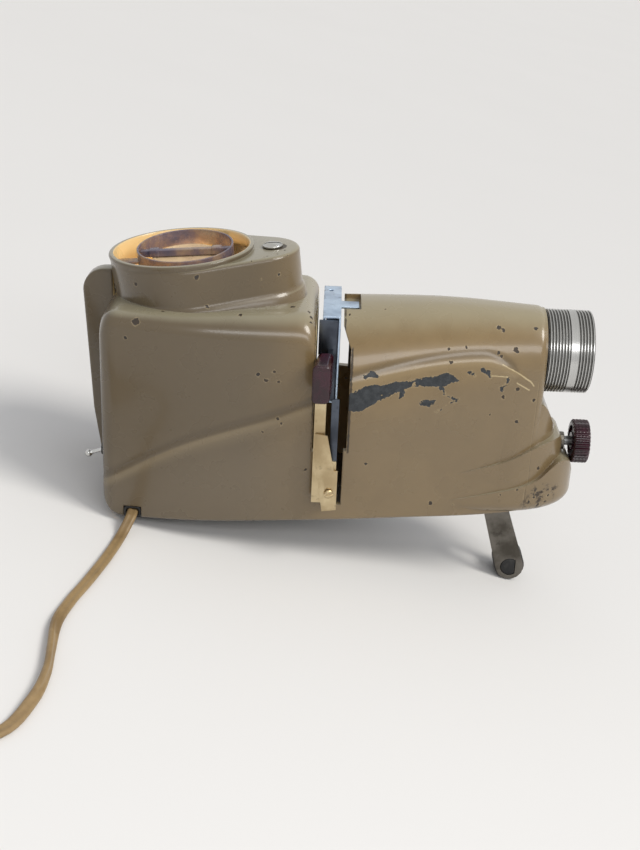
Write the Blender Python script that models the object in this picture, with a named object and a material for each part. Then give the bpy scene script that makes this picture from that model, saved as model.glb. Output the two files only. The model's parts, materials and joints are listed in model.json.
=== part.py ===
"""Slide projector with a cast, streamlined housing. Metres, +Z up, nose towards +X.

Sizes are given in the housing's own frame: x along the lens axis, z from the underside. The
housing then stands on two rear feet and its front leg, so everything hangs on one tilted empty.
"""

import math

import bpy
import bmesh
from mathutils import Matrix, Vector

# Clearances
GAP = 0.0003
RUNNING_GAP = 0.0004
OVERRUN = 0.004
WELD = 0.000004
FLAT_ANGLE = math.radians(0.2)

# Housing: plan
REAR_X = -0.1370
FACE_X = 0.1325
REAR_HALF = 0.0545
WIDEST_X = -0.085
WIDEST_HALF = 0.0575
GATE_HALF = 0.0500
MID_X = 0.070
MID_HALF = 0.0380
FACE_HALF = 0.0290
FACE_FOOT_HALF = 0.0230
WALL = 0.0035
# Housing: heights
SHOULDER_TOP = 0.1322
CROWN_REAR_TOP = 0.1300
CROWN_TOP = 0.1320
CROWN_X = 0.068
CROWN_FRONT_TOP = 0.1290
SHOULDER_ROUND = 0.0175
SHOULDER_REAR_ROUND = 0.0090
CROWN_REAR_DROP = 0.050
CROWN_FRONT_DROP = 0.031
CROWN_FLAT = 0.002
FOOT_ROUND = 0.0025
REAR_PLAN_ROUND = 0.008
REAR_TOP_ROUND = 0.012
REAR_FOOT_ROUND = 0.014
FACE_ROUND = 0.005
# Crease that runs up the side and curls over behind the lens
CREASE_OUT = 0.0009
CREASE_REAR_Z = 0.024
CREASE_LAMP_Z = 0.060
CREASE_GATE_Z = 0.079
CREASE_FRONT_Z = 0.093
CREASE_HIGH_X = 0.093
CREASE_HIGH_Z = 0.1068
CREASE_END_X = 0.124
CREASE_END_Z = 0.092
# Stepped nose: each tier's top runs from its rear end up to a peak and down to its front
BOW_START_X = 0.108
BOW_REAR_X = 0.100
BOW_IN = 0.0006
BOW_HOLLOW_TOP = 0.0520
BOW_WALL = 0.0050
NOSE_WALL = 0.0115
BOW_TOP = 0.074
BOW_NOSE_X = 0.1458
BOW_FRONT_Z = 0.052
UPPER_TIER_REAR_X = 0.050
UPPER_TIER_NOSE_X = 0.1520
UPPER_TIER_OUT = 0.0013
UPPER_TIER_REAR_Z = 0.0235
UPPER_TIER_PEAK_X = 0.1440
UPPER_TIER_PEAK_Z = 0.0500
UPPER_TIER_FRONT_Z = 0.0370
LOWER_TIER_REAR_X = 0.066
LOWER_TIER_NOSE_X = 0.1603
LOWER_TIER_OUT = 0.0028
LOWER_TIER_REAR_Z = 0.0100
LOWER_TIER_PEAK_X = 0.1510
LOWER_TIER_PEAK_Z = 0.0355
LOWER_TIER_FRONT_Z = 0.0205
TIER_MIDDLE_SHARE = 0.36
NOSE_FOOT_Z = 0.0015
NOSE_FOOT_ROUND = 0.0090
# Chimney
CHIMNEY_X = -0.0936
RIM_Z = 0.1585
RIM_RADIUS = 0.0442
RIM_WALL = 0.0032
RIM_RISE = 0.0030
RIM_BAND = 0.0042
CHIMNEY_LEAN = math.radians(5.2)
CHIMNEY_FLARE = 0.0012
CHIMNEY_FILLET = 0.0030
CHIMNEY_FOOT_SHIFT = 0.0055
EAR_FOOT_SHIFT = 0.0015
EAR_X = -0.0480
EAR_RADIUS = 0.0262
EAR_PLATE = 0.0050
FILLET_FOOT_SHARE = 0.6
# Rear fin
FIN_HALF = 0.0055
FIN_TOP = 0.1435
FIN_TOP_X = -0.1540
FIN_FOOT_X = -0.1445
FIN_ROUND = 0.014
FIN_FOOT_Z = 0.007
# Gate slot
SLOT_REAR_X = -0.0087
SLOT_FRONT_X = 0.0123
SLOT_CROWN_X = 0.0074
SLOT_LOW_Z = 0.0480
SLOT_FAR_Z = 0.0680
SLOT_TAIL_REAR_X = -0.0018
SLOT_TAIL_FRONT_X = 0.0104
SLOT_TAIL_Z = 0.0110
NOTCH_LENGTH = 0.0100
NOTCH_NEAR_Y = -0.0150
NOTCH_FAR_Y = 0.0110
NOTCH_DEPTH = 0.0062

# Optics
AXIS_Z = 0.1018
BARREL_RADIUS = 0.0260
BARREL_ROOT = 0.0246
BARREL_REAR_X = 0.1330
BARREL_FRONT_X = 0.1610
BARREL_TAIL_RADIUS = 0.0222
BARREL_TAIL_X = 0.0960
BARREL_BORE = 0.0200
RIB_PITCH = 0.0025
RIB_LAND_SHARE = 0.45
BAND_START_X = 0.1455
BAND_WIDTH = 0.0062
SLEEVE_RADIUS = 0.0244
SLEEVE_REAR_X = 0.0860
SLEEVE_FRONT_X = 0.1318
BORE_WALL = 0.0024
CELL_REAR_X = 0.1000
CELL_FRONT_X = 0.1560
LENS_RADIUS = 0.0170
LENS_SEAT = 0.0012
FRONT_GLASS_X = 0.1500
REAR_GLASS_X = 0.1080
FRONT_GLASS_THICK = 0.0070
REAR_GLASS_THICK = 0.0060
GLASS_BULGE = 0.0022
RING_LENGTH = 0.0022

# Gate and slide changer
PLATE = 0.0015
GATE_REAR_X = -0.0055
GATE_FRONT_X = 0.0055
GATE_NEAR_Y = -0.0297
GATE_FAR_Y = 0.0300
GATE_TOP_Z = 0.1279
GATE_FOOT_Z = 0.0716
GATE_WINDOW = 0.0390
TAB_LENGTH = 0.0110
TAB_WIDTH = 0.0112
TAB_CENTRE_Y = -0.0048
EYE_X = -0.0010
EYE_Y = 0.0210
EYE_RADIUS = 0.0014
END_DROP = 0.0220
SLIDE_SIDE = 0.0508
SLIDE_DEPTH = 0.0050
CARRIER_THICK = 0.0070
CARRIER_NEAR_Y = -0.0309
CARRIER_FOOT_Z = 0.0740
CARRIER_TOP_Z = 0.1260
END_PLATE_REAR_X = -0.0075
END_PLATE_FRONT_X = 0.0037
END_PLATE_SHEET = 0.0012
ARM_HALF = 0.0015
ARM_FOOT_Z = 0.0880
ARM_TOP_Z = 0.1080
CARRIER_FAR_Y = 0.0290
CARRIER_WINDOW = 0.0380
HANDLE_NEAR_Y = -0.0670
HANDLE_FAR_Y = -0.0452
HANDLE_FOOT_Z = 0.0860
HANDLE_TOP_Z = 0.1100
HANDLE_NEAR_X = -0.0049
HANDLE_FAR_X = -0.0028
HANDLE_NEAR_HALF = 0.0053
HANDLE_FAR_HALF = 0.0048
HANDLE_ROUND = 0.0030
HANDLE_EDGE = 0.0012
STRAP_X = -0.0045
STRAP_WIDTH = 0.0068
STRAP_THICK = 0.0018
STRAP_FOOT_TOP_Z = 0.0450
STRAP_Y = -0.0560
BRACKET_Y = -0.0580
BRACKET_FOLD_OUT = 0.0026
BRACKET_TOP_Z = 0.0637
BRACKET_SHOULDER_Z = 0.0490
BRACKET_STEP_Z = 0.0395
BRACKET_FOOT_Z = 0.0130
BRACKET_REAR_X = -0.0070
BRACKET_FOLD_TOP_X = 0.0004
BRACKET_FOLD_FOOT_X = -0.0012
BRACKET_STEP_X = 0.0053
BRACKET_FRONT_X = 0.0075
BRACKET_SHEET = 0.0012
TAIL_REAR_X = 0.0005
TAIL_FRONT_X = 0.0065
TAIL_FAR_Y = -0.0330
TAIL_TOP_Z = 0.0400
TAIL_FOOT_Z = 0.0170
SCREW_HEAD_RADIUS = 0.0030
SCREW_HEAD_HEIGHT = 0.0016
SCREW_SHANK_RADIUS = 0.0014
SCREW_SHANK_LENGTH = 0.0070
SCREW_SLOT = 0.0008
SCREW_X = 0.0026
SCREW_Z = 0.0248

# Lamp, reflector and condensers
LAMP_X = -0.0936
LAMP_RADIUS = 0.0155
LAMP_FOOT_Z = 0.0660
LAMP_TOP_Z = 0.1390
CAP_RADIUS = 0.0125
CAP_FOOT_Z = 0.0430
SOCKET_RADIUS = 0.0165
SOCKET_FOOT_Z = 0.0330
SOCKET_TOP_Z = 0.0600
SOCKET_FLANGE = 0.0210
SOCKET_FLANGE_THICK = 0.0030
STAND_HALF = 0.0240
STAND_DEPTH = 0.0240
MIRROR_X = -0.1235
MIRROR_RADIUS = 0.0230
MIRROR_THICK = 0.0016
MIRROR_CURVE = 0.0320
MIRROR_STEM_RADIUS = 0.0025
MIRROR_PLATE_X = -0.1285
MIRROR_PLATE_HALF = 0.0080
MIRROR_FOOT_LENGTH = 0.0120
CONDENSER_RADIUS = 0.0235
CONDENSER_REAR_X = -0.0660
CONDENSER_FRONT_X = -0.0290
CONDENSER_THICK = 0.0090
CONDENSER_BULGE = 0.0045
HEAT_GLASS_X = -0.0475
HEAT_GLASS_THICK = 0.0025
HOLDER_WALL = 0.0013
HOLDER_REAR_X = -0.0730
HOLDER_FRONT_X = -0.0180
HOLDER_FOOT_HALF = 0.0160
HOLDER_STAND_X = -0.0455
HOLDER_STAND_SHEET = 0.0020
HOLDER_POST_RADIUS = 0.0055
SOCKET_FOOT_WIDTH = 0.0080

# Baffle in the chimney
BAFFLE_RADIUS = 0.0295
BAFFLE_SHEET = 0.0012
BAFFLE_HEIGHT = 0.0095
BAFFLE_RISE = 0.0010
BAFFLE_X = -0.0915
BAFFLE_ROLL = math.radians(3.9)
CROSSBAR_HEIGHT = 0.0040
CROSSBAR_DROP = 0.0022
DISC_RADIUS = 0.0205
DISC_SHEET = 0.0012
BAFFLE_LUG_WIDTH = 0.0080
ARM_CLEARANCE = 0.0007
CROSSBAR_HALF = 0.0020
EAR_SCREW_X = -0.0380
EAR_SCREW_RADIUS = 0.0062
EAR_SCREW_HEAD = 0.0026
EAR_SCREW_SHANK = 0.0024
EAR_SCREW_LENGTH = 0.0160

# Base plate, feet and cord outlet
BASE_THICK = 0.0022
BASE_FOOT_Z = 0.0012
BASE_TOP_Z = BASE_FOOT_Z + BASE_THICK
BASE_REAR_X = -0.1275
BASE_CORNER = 0.0080
BASE_NECK_X = 0.100
BASE_NOSE_X = 0.1480
BASE_GAP = 0.0006
BOSS_RADIUS = 0.0060
BOSS_HEIGHT = 0.0240
BOSS_REAR_X = -0.1040
BOSS_IN = 0.0045
BOSS_FRONT_X = 0.0580
FOOT_X = -0.1205
FOOT_Y = 0.0350
FOOT_RADIUS = 0.0062
FOOT_HEIGHT = 0.0050
FOOT_EDGE = 0.0015
OUTLET_X = -0.1180
OUTLET_HALF = 0.0055
OUTLET_HEIGHT = 0.0080
OUTLET_NOTCH_Y = 0.0460
GROMMET_WALL = 0.0011
GROMMET_LIP = 0.0010

# Toggle switch on the rear wall
SWITCH_Y = -0.0270
SWITCH_Z = 0.0330
SWITCH_SIZE = 0.0150
SWITCH_DEPTH = 0.0160
SWITCH_NECK = 0.0040
SWITCH_NECK_RADIUS = 0.0042
SWITCH_MOUTH_RADIUS = 0.0030
SWITCH_NUT = 0.0066
SWITCH_NUT_THICK = 0.0022
LEVER_LENGTH = 0.0125
LEVER_NECK = 0.0012
LEVER_BALL = 0.0024
LEVER_PIVOT_IN = 0.0010
LEVER_PIN = 0.0008
LEVER_REST = math.radians(-20)

# Elevation knob, screw and leg
LIFT_Z = 0.0403
KNOB_RADIUS = 0.0140
KNOB_REAR_X = 0.1580
KNOB_WIDTH = 0.0105
KNOB_TEETH = 20
KNOB_TOOTH = 0.0010
KNOB_HOLLOW = 0.0032
KNOB_RIM = 0.0034
KNOB_HUB = 0.0052
SHAFT_RADIUS = 0.0030
SHAFT_REAR_X = 0.0750
SHAFT_FRONT_IN = 0.0015
BEARING_X = 0.0765
BUSH_RADIUS = 0.0058
BUSH_REAR_X = 0.1410
BUSH_FRONT_X = 0.1530
COLLAR_RADIUS = 0.0052
COLLAR_WIDTH = 0.0030
PIVOT_X = 0.1045
PIVOT_Z = 0.0200
LEG_SWING = math.radians(78)
NUT_HALF = 0.0060
NUT_LENGTH = 0.0090
TRUNNION_RADIUS = 0.0020
TRUNNION_PLAY = 0.0012
LEG_HALF = 0.0105
LEG_SHEET = 0.0016
LEG_END_RADIUS = 0.0092
LEG_ARM_RADIUS = 0.0070
LEG_END_X = 0.1262
LEG_END_Z = -0.0495
LEG_WEB_START = 0.0150
LEG_WEB_END = 0.0520
LEG_WEB_BACK = 0.0078
PIVOT_RADIUS = 0.0020
LEG_SLOT_REAR_X = 0.0480
LEG_SLOT_FRONT_X = 0.1250
LEG_SLOT_SIDE = 0.0010
EAR_SHEET = 0.0022
PIVOT_EAR_HALF = 0.0060
RUBBER_RADIUS = 0.0100
RUBBER_BOSS_RADIUS = 0.0060
RUBBER_BOSS_CUT = 0.0035

# Cord and plug; the cord's route lies on the floor
CORD_RADIUS = 0.0022
CORD_STEP = 0.0062
CORD_INNER_Y = -0.0485
CORD_STRAIGHT = 0.0080
FLOOR_GAP = 0.0003
CORD_ROUTE = (
    (-0.1086, -0.0700),
    (-0.1123, -0.0970),
    (-0.1183, -0.1282),
    (-0.1236, -0.1519),
    (-0.1264, -0.1750),
    (-0.1240, -0.2010),
    (-0.1222, -0.2205),
    (-0.1240, -0.2430),
    (-0.1330, -0.2700),
    (-0.1570, -0.2860),
    (-0.1980, -0.2900),
)
COIL_HAND = -1
COIL_LOOPS = 2.875
COIL_RADIUS = 0.0430
COIL_PITCH = 0.0079
COIL_RISE = 0.0052
COIL_EXIT = 0.0180
PLUG_LENGTH = 0.030
PLUG_WIDTH = 0.024
PLUG_CORNER = 0.003
PIN_LENGTH = 0.016
PIN_WIDTH = 0.0062
PIN_THICK = 0.0015
PIN_SPACING = 0.0127

# Where the housing's cross-sections lie along each of its runs
REAR_SHARES = (0, 0.08, 0.28, 0.57, 1)
LAMPHOUSE_SHARES = (0.25, 0.42, 0.6, 0.8, 1)
FRONT_SHARES = (0, 0.16, 0.33, 0.5, 0.67, 0.83)
FACE_SHARES = (1, 0.4, 0)

RING_STEPS = 6
ROUND_STEPS = 28
SMALL_STEPS = 12


def clear_scene():
    """Empty the scene before modelling."""
    for obj in list(bpy.data.objects):
        bpy.data.objects.remove(obj, do_unlink=True)


def material(name, colour, roughness, metallic=0.0):
    """A plain Principled material, made once for each name."""
    found = bpy.data.materials.get(name)
    if found:
        return found
    made = bpy.data.materials.new(name)
    made.use_nodes = True
    shader = made.node_tree.nodes["Principled BSDF"]
    shader.inputs["Base Color"].default_value = (*colour, 1.0)
    shader.inputs["Roughness"].default_value = roughness
    shader.inputs["Metallic"].default_value = metallic
    return made


def paint():
    return material("cream_paint", (0.42, 0.34, 0.20), 0.30)


def maroon():
    return material("maroon_bakelite", (0.10, 0.012, 0.035), 0.25)


def aluminium():
    return material("aluminium", (0.75, 0.76, 0.78), 0.30, 1.0)


def steel():
    return material("steel", (0.55, 0.56, 0.58), 0.35, 1.0)


def chrome():
    return material("chrome", (0.80, 0.80, 0.82), 0.10, 1.0)


def rubber():
    return material("black_rubber", (0.02, 0.02, 0.02), 0.70)


def glass():
    return material("optical_glass", (0.85, 0.90, 0.92), 0.05)


def ceramic():
    return material("ceramic", (0.75, 0.72, 0.65), 0.50)


def brass():
    return material("brass", (0.65, 0.48, 0.20), 0.35, 1.0)


def cord_cover():
    return material("cream_cord", (0.62, 0.52, 0.34), 0.55)


def finish(bm, name, surface, smooth=30):
    """Turn a bmesh into a named object with one material."""
    bmesh.ops.recalc_face_normals(bm, faces=bm.faces)
    bmesh.ops.triangulate(bm, faces=bm.faces)
    mesh = bpy.data.meshes.new(name)
    bm.to_mesh(mesh)
    bm.free()
    mesh.shade_smooth()
    mesh.set_sharp_from_angle(angle=math.radians(smooth))
    obj = bpy.data.objects.new(name, mesh)
    bpy.context.scene.collection.objects.link(obj)
    if surface:
        mesh.materials.append(surface)
    return obj


def loft(rings, name, surface):
    """Skin rings that have equally many points, and close both ends."""
    bm = bmesh.new()
    loops = [[bm.verts.new(point) for point in ring] for ring in rings]
    for near, far in zip(loops, loops[1:]):
        for i in range(len(near)):
            j = (i + 1) % len(near)
            bm.faces.new((near[i], near[j], far[j], far[i]))
    bm.faces.new(list(reversed(loops[0])))
    bm.faces.new(loops[-1])
    return finish(bm, name, surface)


def prism(outline, low, high, place, name, surface):
    """Extrude a closed outline; place(u, v, t) puts its points in space."""
    rings = [[place(u, v, t) for u, v in outline] for t in (low, high)]
    return loft(rings, name, surface)


def flat(x, y, z):
    return Vector((x, y, z))


def upright(x, z, y):
    return Vector((x, y, z))


def facing(y, z, x):
    return Vector((x, y, z))


def rectangle(low_u, high_u, low_v, high_v):
    return [(low_u, low_v), (high_u, low_v), (high_u, high_v), (low_u, high_v)]


def box(low, high, name, surface):
    """A box between two corners."""
    outline = rectangle(low[0], high[0], low[1], high[1])
    return prism(outline, low[2], high[2], flat, name, surface)


def circle(centre_u, centre_v, radius, steps=SMALL_STEPS):
    turn = 2 * math.pi / steps
    return [
        (centre_u + radius * math.cos(i * turn), centre_v + radius * math.sin(i * turn))
        for i in range(steps)
    ]


def arc(centre_u, centre_v, radius, start, end, steps=RING_STEPS):
    """Points of an arc, both ends included; angles in degrees."""
    step = (end - start) / steps
    return [
        (
            centre_u + radius * math.cos(math.radians(start + i * step)),
            centre_v + radius * math.sin(math.radians(start + i * step)),
        )
        for i in range(steps + 1)
    ]


def rounded(low_u, high_u, low_v, high_v, radius, steps=4):
    """A rectangle with round corners."""
    return (
        arc(high_u - radius, low_v + radius, radius, -90, 0, steps)
        + arc(high_u - radius, high_v - radius, radius, 0, 90, steps)
        + arc(low_u + radius, high_v - radius, radius, 90, 180, steps)
        + arc(low_u + radius, low_v + radius, radius, 180, 270, steps)
    )


def along_x(point, centre):
    """A turned profile's (distance along, radius, angle) with its axis along X."""
    length, radius, angle = point
    return Vector((length, centre[1] + radius * math.cos(angle), centre[2] + radius * math.sin(angle)))


def along_z(point, centre):
    length, radius, angle = point
    return Vector((centre[0] + radius * math.cos(angle), centre[1] + radius * math.sin(angle), length))


def along_y(point, centre):
    length, radius, angle = point
    return Vector((centre[0] + radius * math.sin(angle), length, centre[2] + radius * math.cos(angle)))


def turned(profile, centre, place, name, surface, steps=ROUND_STEPS):
    """Turn a closed profile of (length, radius) points round an axis."""
    bm = bmesh.new()
    turn = 2 * math.pi / steps
    columns = []
    for length, radius in profile:
        if radius == 0:
            vert = bm.verts.new(place((length, 0, 0), centre))
            columns.append([vert] * steps)
        else:
            columns.append([bm.verts.new(place((length, radius, i * turn), centre)) for i in range(steps)])
    for near, far in zip(columns, columns[1:] + columns[:1]):
        for i in range(steps):
            j = (i + 1) % steps
            corners = []
            for vert in (near[i], near[j], far[j], far[i]):
                if vert not in corners:
                    corners.append(vert)
            if len(corners) > 2:
                bm.faces.new(corners)
    return finish(bm, name, surface)


def tube(low, high, outer, inner, centre, place, name, surface, steps=ROUND_STEPS):
    profile = [(low, inner), (low, outer), (high, outer), (high, inner)]
    return turned(profile, centre, place, name, surface, steps)


def rod(low, high, radius, centre, place, name, surface, steps=SMALL_STEPS):
    profile = [(low, 0), (low, radius), (high, radius), (high, 0)]
    return turned(profile, centre, place, name, surface, steps)


def weld(mesh):
    """Close the hair-thin slivers that a Boolean can leave."""
    bm = bmesh.new()
    bm.from_mesh(mesh)
    bmesh.ops.remove_doubles(bm, verts=bm.verts, dist=WELD)
    bmesh.ops.dissolve_degenerate(bm, edges=bm.edges, dist=WELD)
    bmesh.ops.triangulate(bm, faces=bm.faces)
    bm.to_mesh(mesh)
    bm.free()


def combine(target, others, operation):
    """Apply one exact Boolean after another, and remove the tools."""
    for other in others:
        tool = target.modifiers.new("shape", "BOOLEAN")
        tool.operation = operation
        tool.solver = "EXACT"
        tool.object = other
        bpy.context.view_layer.update()
        graph = bpy.context.evaluated_depsgraph_get()
        baked = bpy.data.meshes.new_from_object(target.evaluated_get(graph))
        weld(baked)
        target.modifiers.clear()
        old = target.data
        surface = old.materials[0] if old.materials else None
        target.data = baked
        bpy.data.meshes.remove(old)
        baked.materials.clear()
        if surface:
            baked.materials.append(surface)
        baked.shade_smooth()
        baked.set_sharp_from_angle(angle=math.radians(30))
        bpy.data.objects.remove(other, do_unlink=True)
    return target


def join(target, *others):
    return combine(target, others, "UNION")


def cut(target, *others):
    return combine(target, others, "DIFFERENCE")


def keep(target, *others):
    return combine(target, others, "INTERSECT")


def merge_flats(obj):
    """Merge the small flat faces that Booleans leave."""
    bm = bmesh.new()
    bm.from_mesh(obj.data)
    bmesh.ops.dissolve_limit(bm, angle_limit=FLAT_ANGLE, verts=bm.verts, edges=bm.edges)
    bmesh.ops.triangulate(bm, faces=bm.faces)
    bm.to_mesh(obj.data)
    bm.free()
    obj.data.shade_smooth()
    obj.data.set_sharp_from_angle(angle=math.radians(30))


def set_origin(obj, point):
    """Move an object's origin to a point of the housing's frame."""
    place = Vector(point)
    obj.data.transform(Matrix.Translation(-place))
    obj.location = place
    return obj


def smooth_curve(knots, x):
    """A smooth curve through (x, value) knots, without overshoot."""
    if x <= knots[0][0]:
        return knots[0][1]
    if x >= knots[-1][0]:
        return knots[-1][1]
    slopes = [(b[1] - a[1]) / (b[0] - a[0]) for a, b in zip(knots, knots[1:])]
    tangents = [slopes[0]]
    for first, second in zip(slopes, slopes[1:]):
        tangents.append(0 if first * second <= 0 else 2 * first * second / (first + second))
    tangents.append(slopes[-1])
    for i, (a, b) in enumerate(zip(knots, knots[1:])):
        if x <= b[0]:
            span = b[0] - a[0]
            t = (x - a[0]) / span
            return (
                (2 * t**3 - 3 * t**2 + 1) * a[1]
                + (t**3 - 2 * t**2 + t) * span * tangents[i]
                + (3 * t**2 - 2 * t**3) * b[1]
                + (t**3 - t**2) * span * tangents[i + 1]
            )
    return knots[-1][1]


def half_width(x):
    """Half the housing's width at its widest height."""
    knots = [
        (REAR_X, REAR_HALF),
        (WIDEST_X, WIDEST_HALF),
        (SLOT_REAR_X, GATE_HALF),
        (MID_X, MID_HALF),
        (FACE_X, FACE_HALF),
    ]
    return smooth_curve(knots, x)


def foot_half_width(x):
    """Half the width at the underside, which draws in under the lens."""
    narrowing = max(0, (x - MID_X) / (FACE_X - MID_X))
    return half_width(x) - (FACE_HALF - FACE_FOOT_HALF) * narrowing**2


def top_height(x):
    """Height of the shoulder behind the gate and of the crown before it."""
    if x <= SLOT_REAR_X:
        return SHOULDER_TOP
    knots = [(SLOT_CROWN_X, CROWN_REAR_TOP), (CROWN_X, CROWN_TOP), (FACE_X, CROWN_FRONT_TOP)]
    return smooth_curve(knots, x)


def rounding(x):
    """Width and height of the corner between side and top."""
    if x <= SLOT_REAR_X:
        share = max(0, (x - REAR_X) / (SLOT_REAR_X - REAR_X))
        radius = SHOULDER_REAR_ROUND + (SHOULDER_ROUND - SHOULDER_REAR_ROUND) * share
        return radius, radius
    share = (x - SLOT_REAR_X) / (FACE_X - SLOT_REAR_X)
    drop = CROWN_REAR_DROP + (CROWN_FRONT_DROP - CROWN_REAR_DROP) * share
    return half_width(x) - CROWN_FLAT, drop


def quarter(radius, depth):
    """How far a quarter round of this radius draws in at this depth from its end."""
    if depth >= radius:
        return 0
    return radius - math.sqrt(radius**2 - (radius - depth) ** 2)


def housing_ring(x, inset, floor, widen):
    """One cross-section of the housing, drawn in by inset all round."""
    from_rear = x - REAR_X - inset
    from_face = FACE_X - inset - x
    side_in = inset - widen + quarter(REAR_PLAN_ROUND, from_rear) + quarter(FACE_ROUND, from_face)
    top_in = inset + quarter(REAR_TOP_ROUND, from_rear) + quarter(FACE_ROUND, from_face)
    foot = floor + quarter(REAR_FOOT_ROUND, from_rear)
    side = half_width(x) - side_in
    foot_side = foot_half_width(x) - side_in
    across, drop = rounding(x)
    across = min(across, side - CROWN_FLAT)
    top = top_height(x) - top_in
    edge = FOOT_ROUND
    right = [(foot_side - edge * (1 - math.cos(a)), foot + edge * (1 - math.sin(a)))
             for a in (math.pi / 2, math.pi / 4, 0)]
    for i in range(RING_STEPS + 1):
        a = math.pi / 2 * i / RING_STEPS
        right.append((side - across * (1 - math.cos(a)), top - drop * (1 - math.sin(a))))
    left = [(-y, z) for y, z in reversed(right)]
    return [Vector((x, y, z)) for y, z in right + left]


def housing_stations(inset):
    """Places of the cross-sections, closer together where the housing turns."""
    rear = [REAR_X + inset + REAR_FOOT_ROUND * share for share in REAR_SHARES]
    face = [FACE_X - inset - FACE_ROUND * share for share in FACE_SHARES]
    rear_run = [REAR_X + (SLOT_REAR_X - REAR_X) * share for share in LAMPHOUSE_SHARES]
    front_run = [SLOT_CROWN_X + (FACE_X - SLOT_CROWN_X) * share for share in FRONT_SHARES]
    return rear + rear_run + front_run + face


def housing_shell(inset, floor, widen, name):
    """The housing's closed outer form, or its hollow when it is drawn in."""
    rings = [housing_ring(x, inset, floor, widen) for x in housing_stations(inset)]
    return loft(rings, name, paint())


def bow_outline(rear_x, nose_x, outward, inset):
    """Plan outline of one tier of the nose: the sides, then half an ellipse."""
    def side(x):
        fade = min(1, max(0, (x - rear_x) / (BOW_START_X - rear_x)))
        return half_width(x) + outward * fade - inset
    run = [rear_x + (BOW_START_X - rear_x) * i / RING_STEPS for i in range(RING_STEPS)]
    outline = [(x, -side(x)) for x in run]
    reach = nose_x - inset - BOW_START_X
    steps = 2 * RING_STEPS
    for i in range(steps + 1):
        angle = -math.pi / 2 + math.pi * i / steps
        outline.append((BOW_START_X + reach * math.cos(angle), side(BOW_START_X) * math.sin(angle)))
    return outline + [(x, side(x)) for x in reversed(run)]


def nose_hollows():
    """The hollow inside the lowest tier, and the narrower one above it behind the bush."""
    low = bow_outline(LOWER_TIER_REAR_X, LOWER_TIER_NOSE_X, LOWER_TIER_OUT, NOSE_WALL)
    high = bow_outline(BOW_REAR_X, BOW_NOSE_X, -BOW_IN, BOW_WALL)
    top = LOWER_TIER_FRONT_Z - WALL
    return (
        prism(low, -OVERRUN, top, flat, "low_hollow", None),
        prism(high, top - WALL, BOW_HOLLOW_TOP, flat, "high_hollow", None),
    )


def below_curve(knots, start, end, steps):
    """A broad block whose top follows a smooth curve through the knots."""
    places = [start + (end - start) * i / steps for i in range(steps + 1)]
    outline = [(x, smooth_curve(knots, x)) for x in places] + [(end, -OVERRUN), (start, -OVERRUN)]
    return prism(outline, -2 * WIDEST_HALF, 2 * WIDEST_HALF, upright, "below_curve", None)


def nose_tier(rear_x, nose_x, outward, knots, name):
    """One tier of the nose, rounded underneath and kept below its top curve."""
    levels = []
    for i in range(4):
        depth = NOSE_FOOT_ROUND * i / 3
        inset = quarter(NOSE_FOOT_ROUND, depth)
        levels.append([Vector((x, y, NOSE_FOOT_Z + depth))
                       for x, y in bow_outline(rear_x, nose_x, outward, inset)])
    levels.append([Vector((p.x, p.y, SHOULDER_TOP)) for p in levels[-1]])
    tier = loft(levels, name, paint())
    return keep(tier, below_curve(knots, rear_x - OVERRUN, nose_x + OVERRUN, 4 * RING_STEPS))


def upper_tier():
    start, peak = UPPER_TIER_REAR_Z, UPPER_TIER_PEAK_Z
    knots = [
        (UPPER_TIER_REAR_X, start),
        (BOW_START_X, start + (peak - start) * (1 - TIER_MIDDLE_SHARE) * 0.8),
        (UPPER_TIER_PEAK_X, peak),
        (UPPER_TIER_NOSE_X, UPPER_TIER_FRONT_Z),
    ]
    return nose_tier(UPPER_TIER_REAR_X, UPPER_TIER_NOSE_X, UPPER_TIER_OUT, knots, "upper_tier")


def lower_tier():
    start, peak = LOWER_TIER_REAR_Z, LOWER_TIER_PEAK_Z
    knots = [
        (LOWER_TIER_REAR_X, start),
        (BOW_START_X, start + (peak - start) * TIER_MIDDLE_SHARE * 0.85),
        (FACE_X, start + (peak - start) * (1 - TIER_MIDDLE_SHARE) * 0.85),
        (LOWER_TIER_PEAK_X, peak),
        (LOWER_TIER_NOSE_X, LOWER_TIER_FRONT_Z),
    ]
    return nose_tier(LOWER_TIER_REAR_X, LOWER_TIER_NOSE_X, LOWER_TIER_OUT, knots, "lower_tier")


def bow():
    """The slope that carries the front housing forward below the lens."""
    knots = [(BOW_START_X, BOW_TOP), (FACE_X, BOW_TOP), (BOW_NOSE_X, BOW_FRONT_Z)]
    return nose_tier(BOW_REAR_X, BOW_NOSE_X, -BOW_IN, knots, "bow")


def crease_band():
    """The lower flank stands out a little below the crease."""
    band = housing_shell(0, 2 * GAP, CREASE_OUT, "crease_band")
    knots = [
        (REAR_X, CREASE_REAR_Z),
        (WIDEST_X, CREASE_LAMP_Z * 0.88),
        (SLOT_REAR_X, CREASE_GATE_Z),
        (SLOT_FRONT_X, CREASE_FRONT_Z),
        (CREASE_HIGH_X, CREASE_HIGH_Z),
        (CREASE_END_X, CREASE_END_Z),
    ]
    return keep(band, below_curve(knots, REAR_X - OVERRUN, FACE_X + OVERRUN, 5 * RING_STEPS))


def lean_height(x):
    """How much higher the leaning rim plane is at x than over the lamp."""
    return (x - CHIMNEY_X) * math.tan(CHIMNEY_LEAN)


def chimney_outline(outward, sink):
    """Plan of the chimney: a round well and a smaller round ear; sink is 0 at the rim, 1 at the foot."""
    big = RIM_RADIUS + outward
    small = EAR_RADIUS + outward
    well_x = CHIMNEY_X + CHIMNEY_FOOT_SHIFT * sink
    ear_x = EAR_X + EAR_FOOT_SHIFT * sink
    lean = math.degrees(math.acos((big - small) / (ear_x - well_x)))
    ear = arc(ear_x, 0, small, -lean, lean, RING_STEPS + 4)
    well = arc(well_x, 0, big, lean, 360 - lean, 3 * RING_STEPS)
    return ear + well


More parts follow.
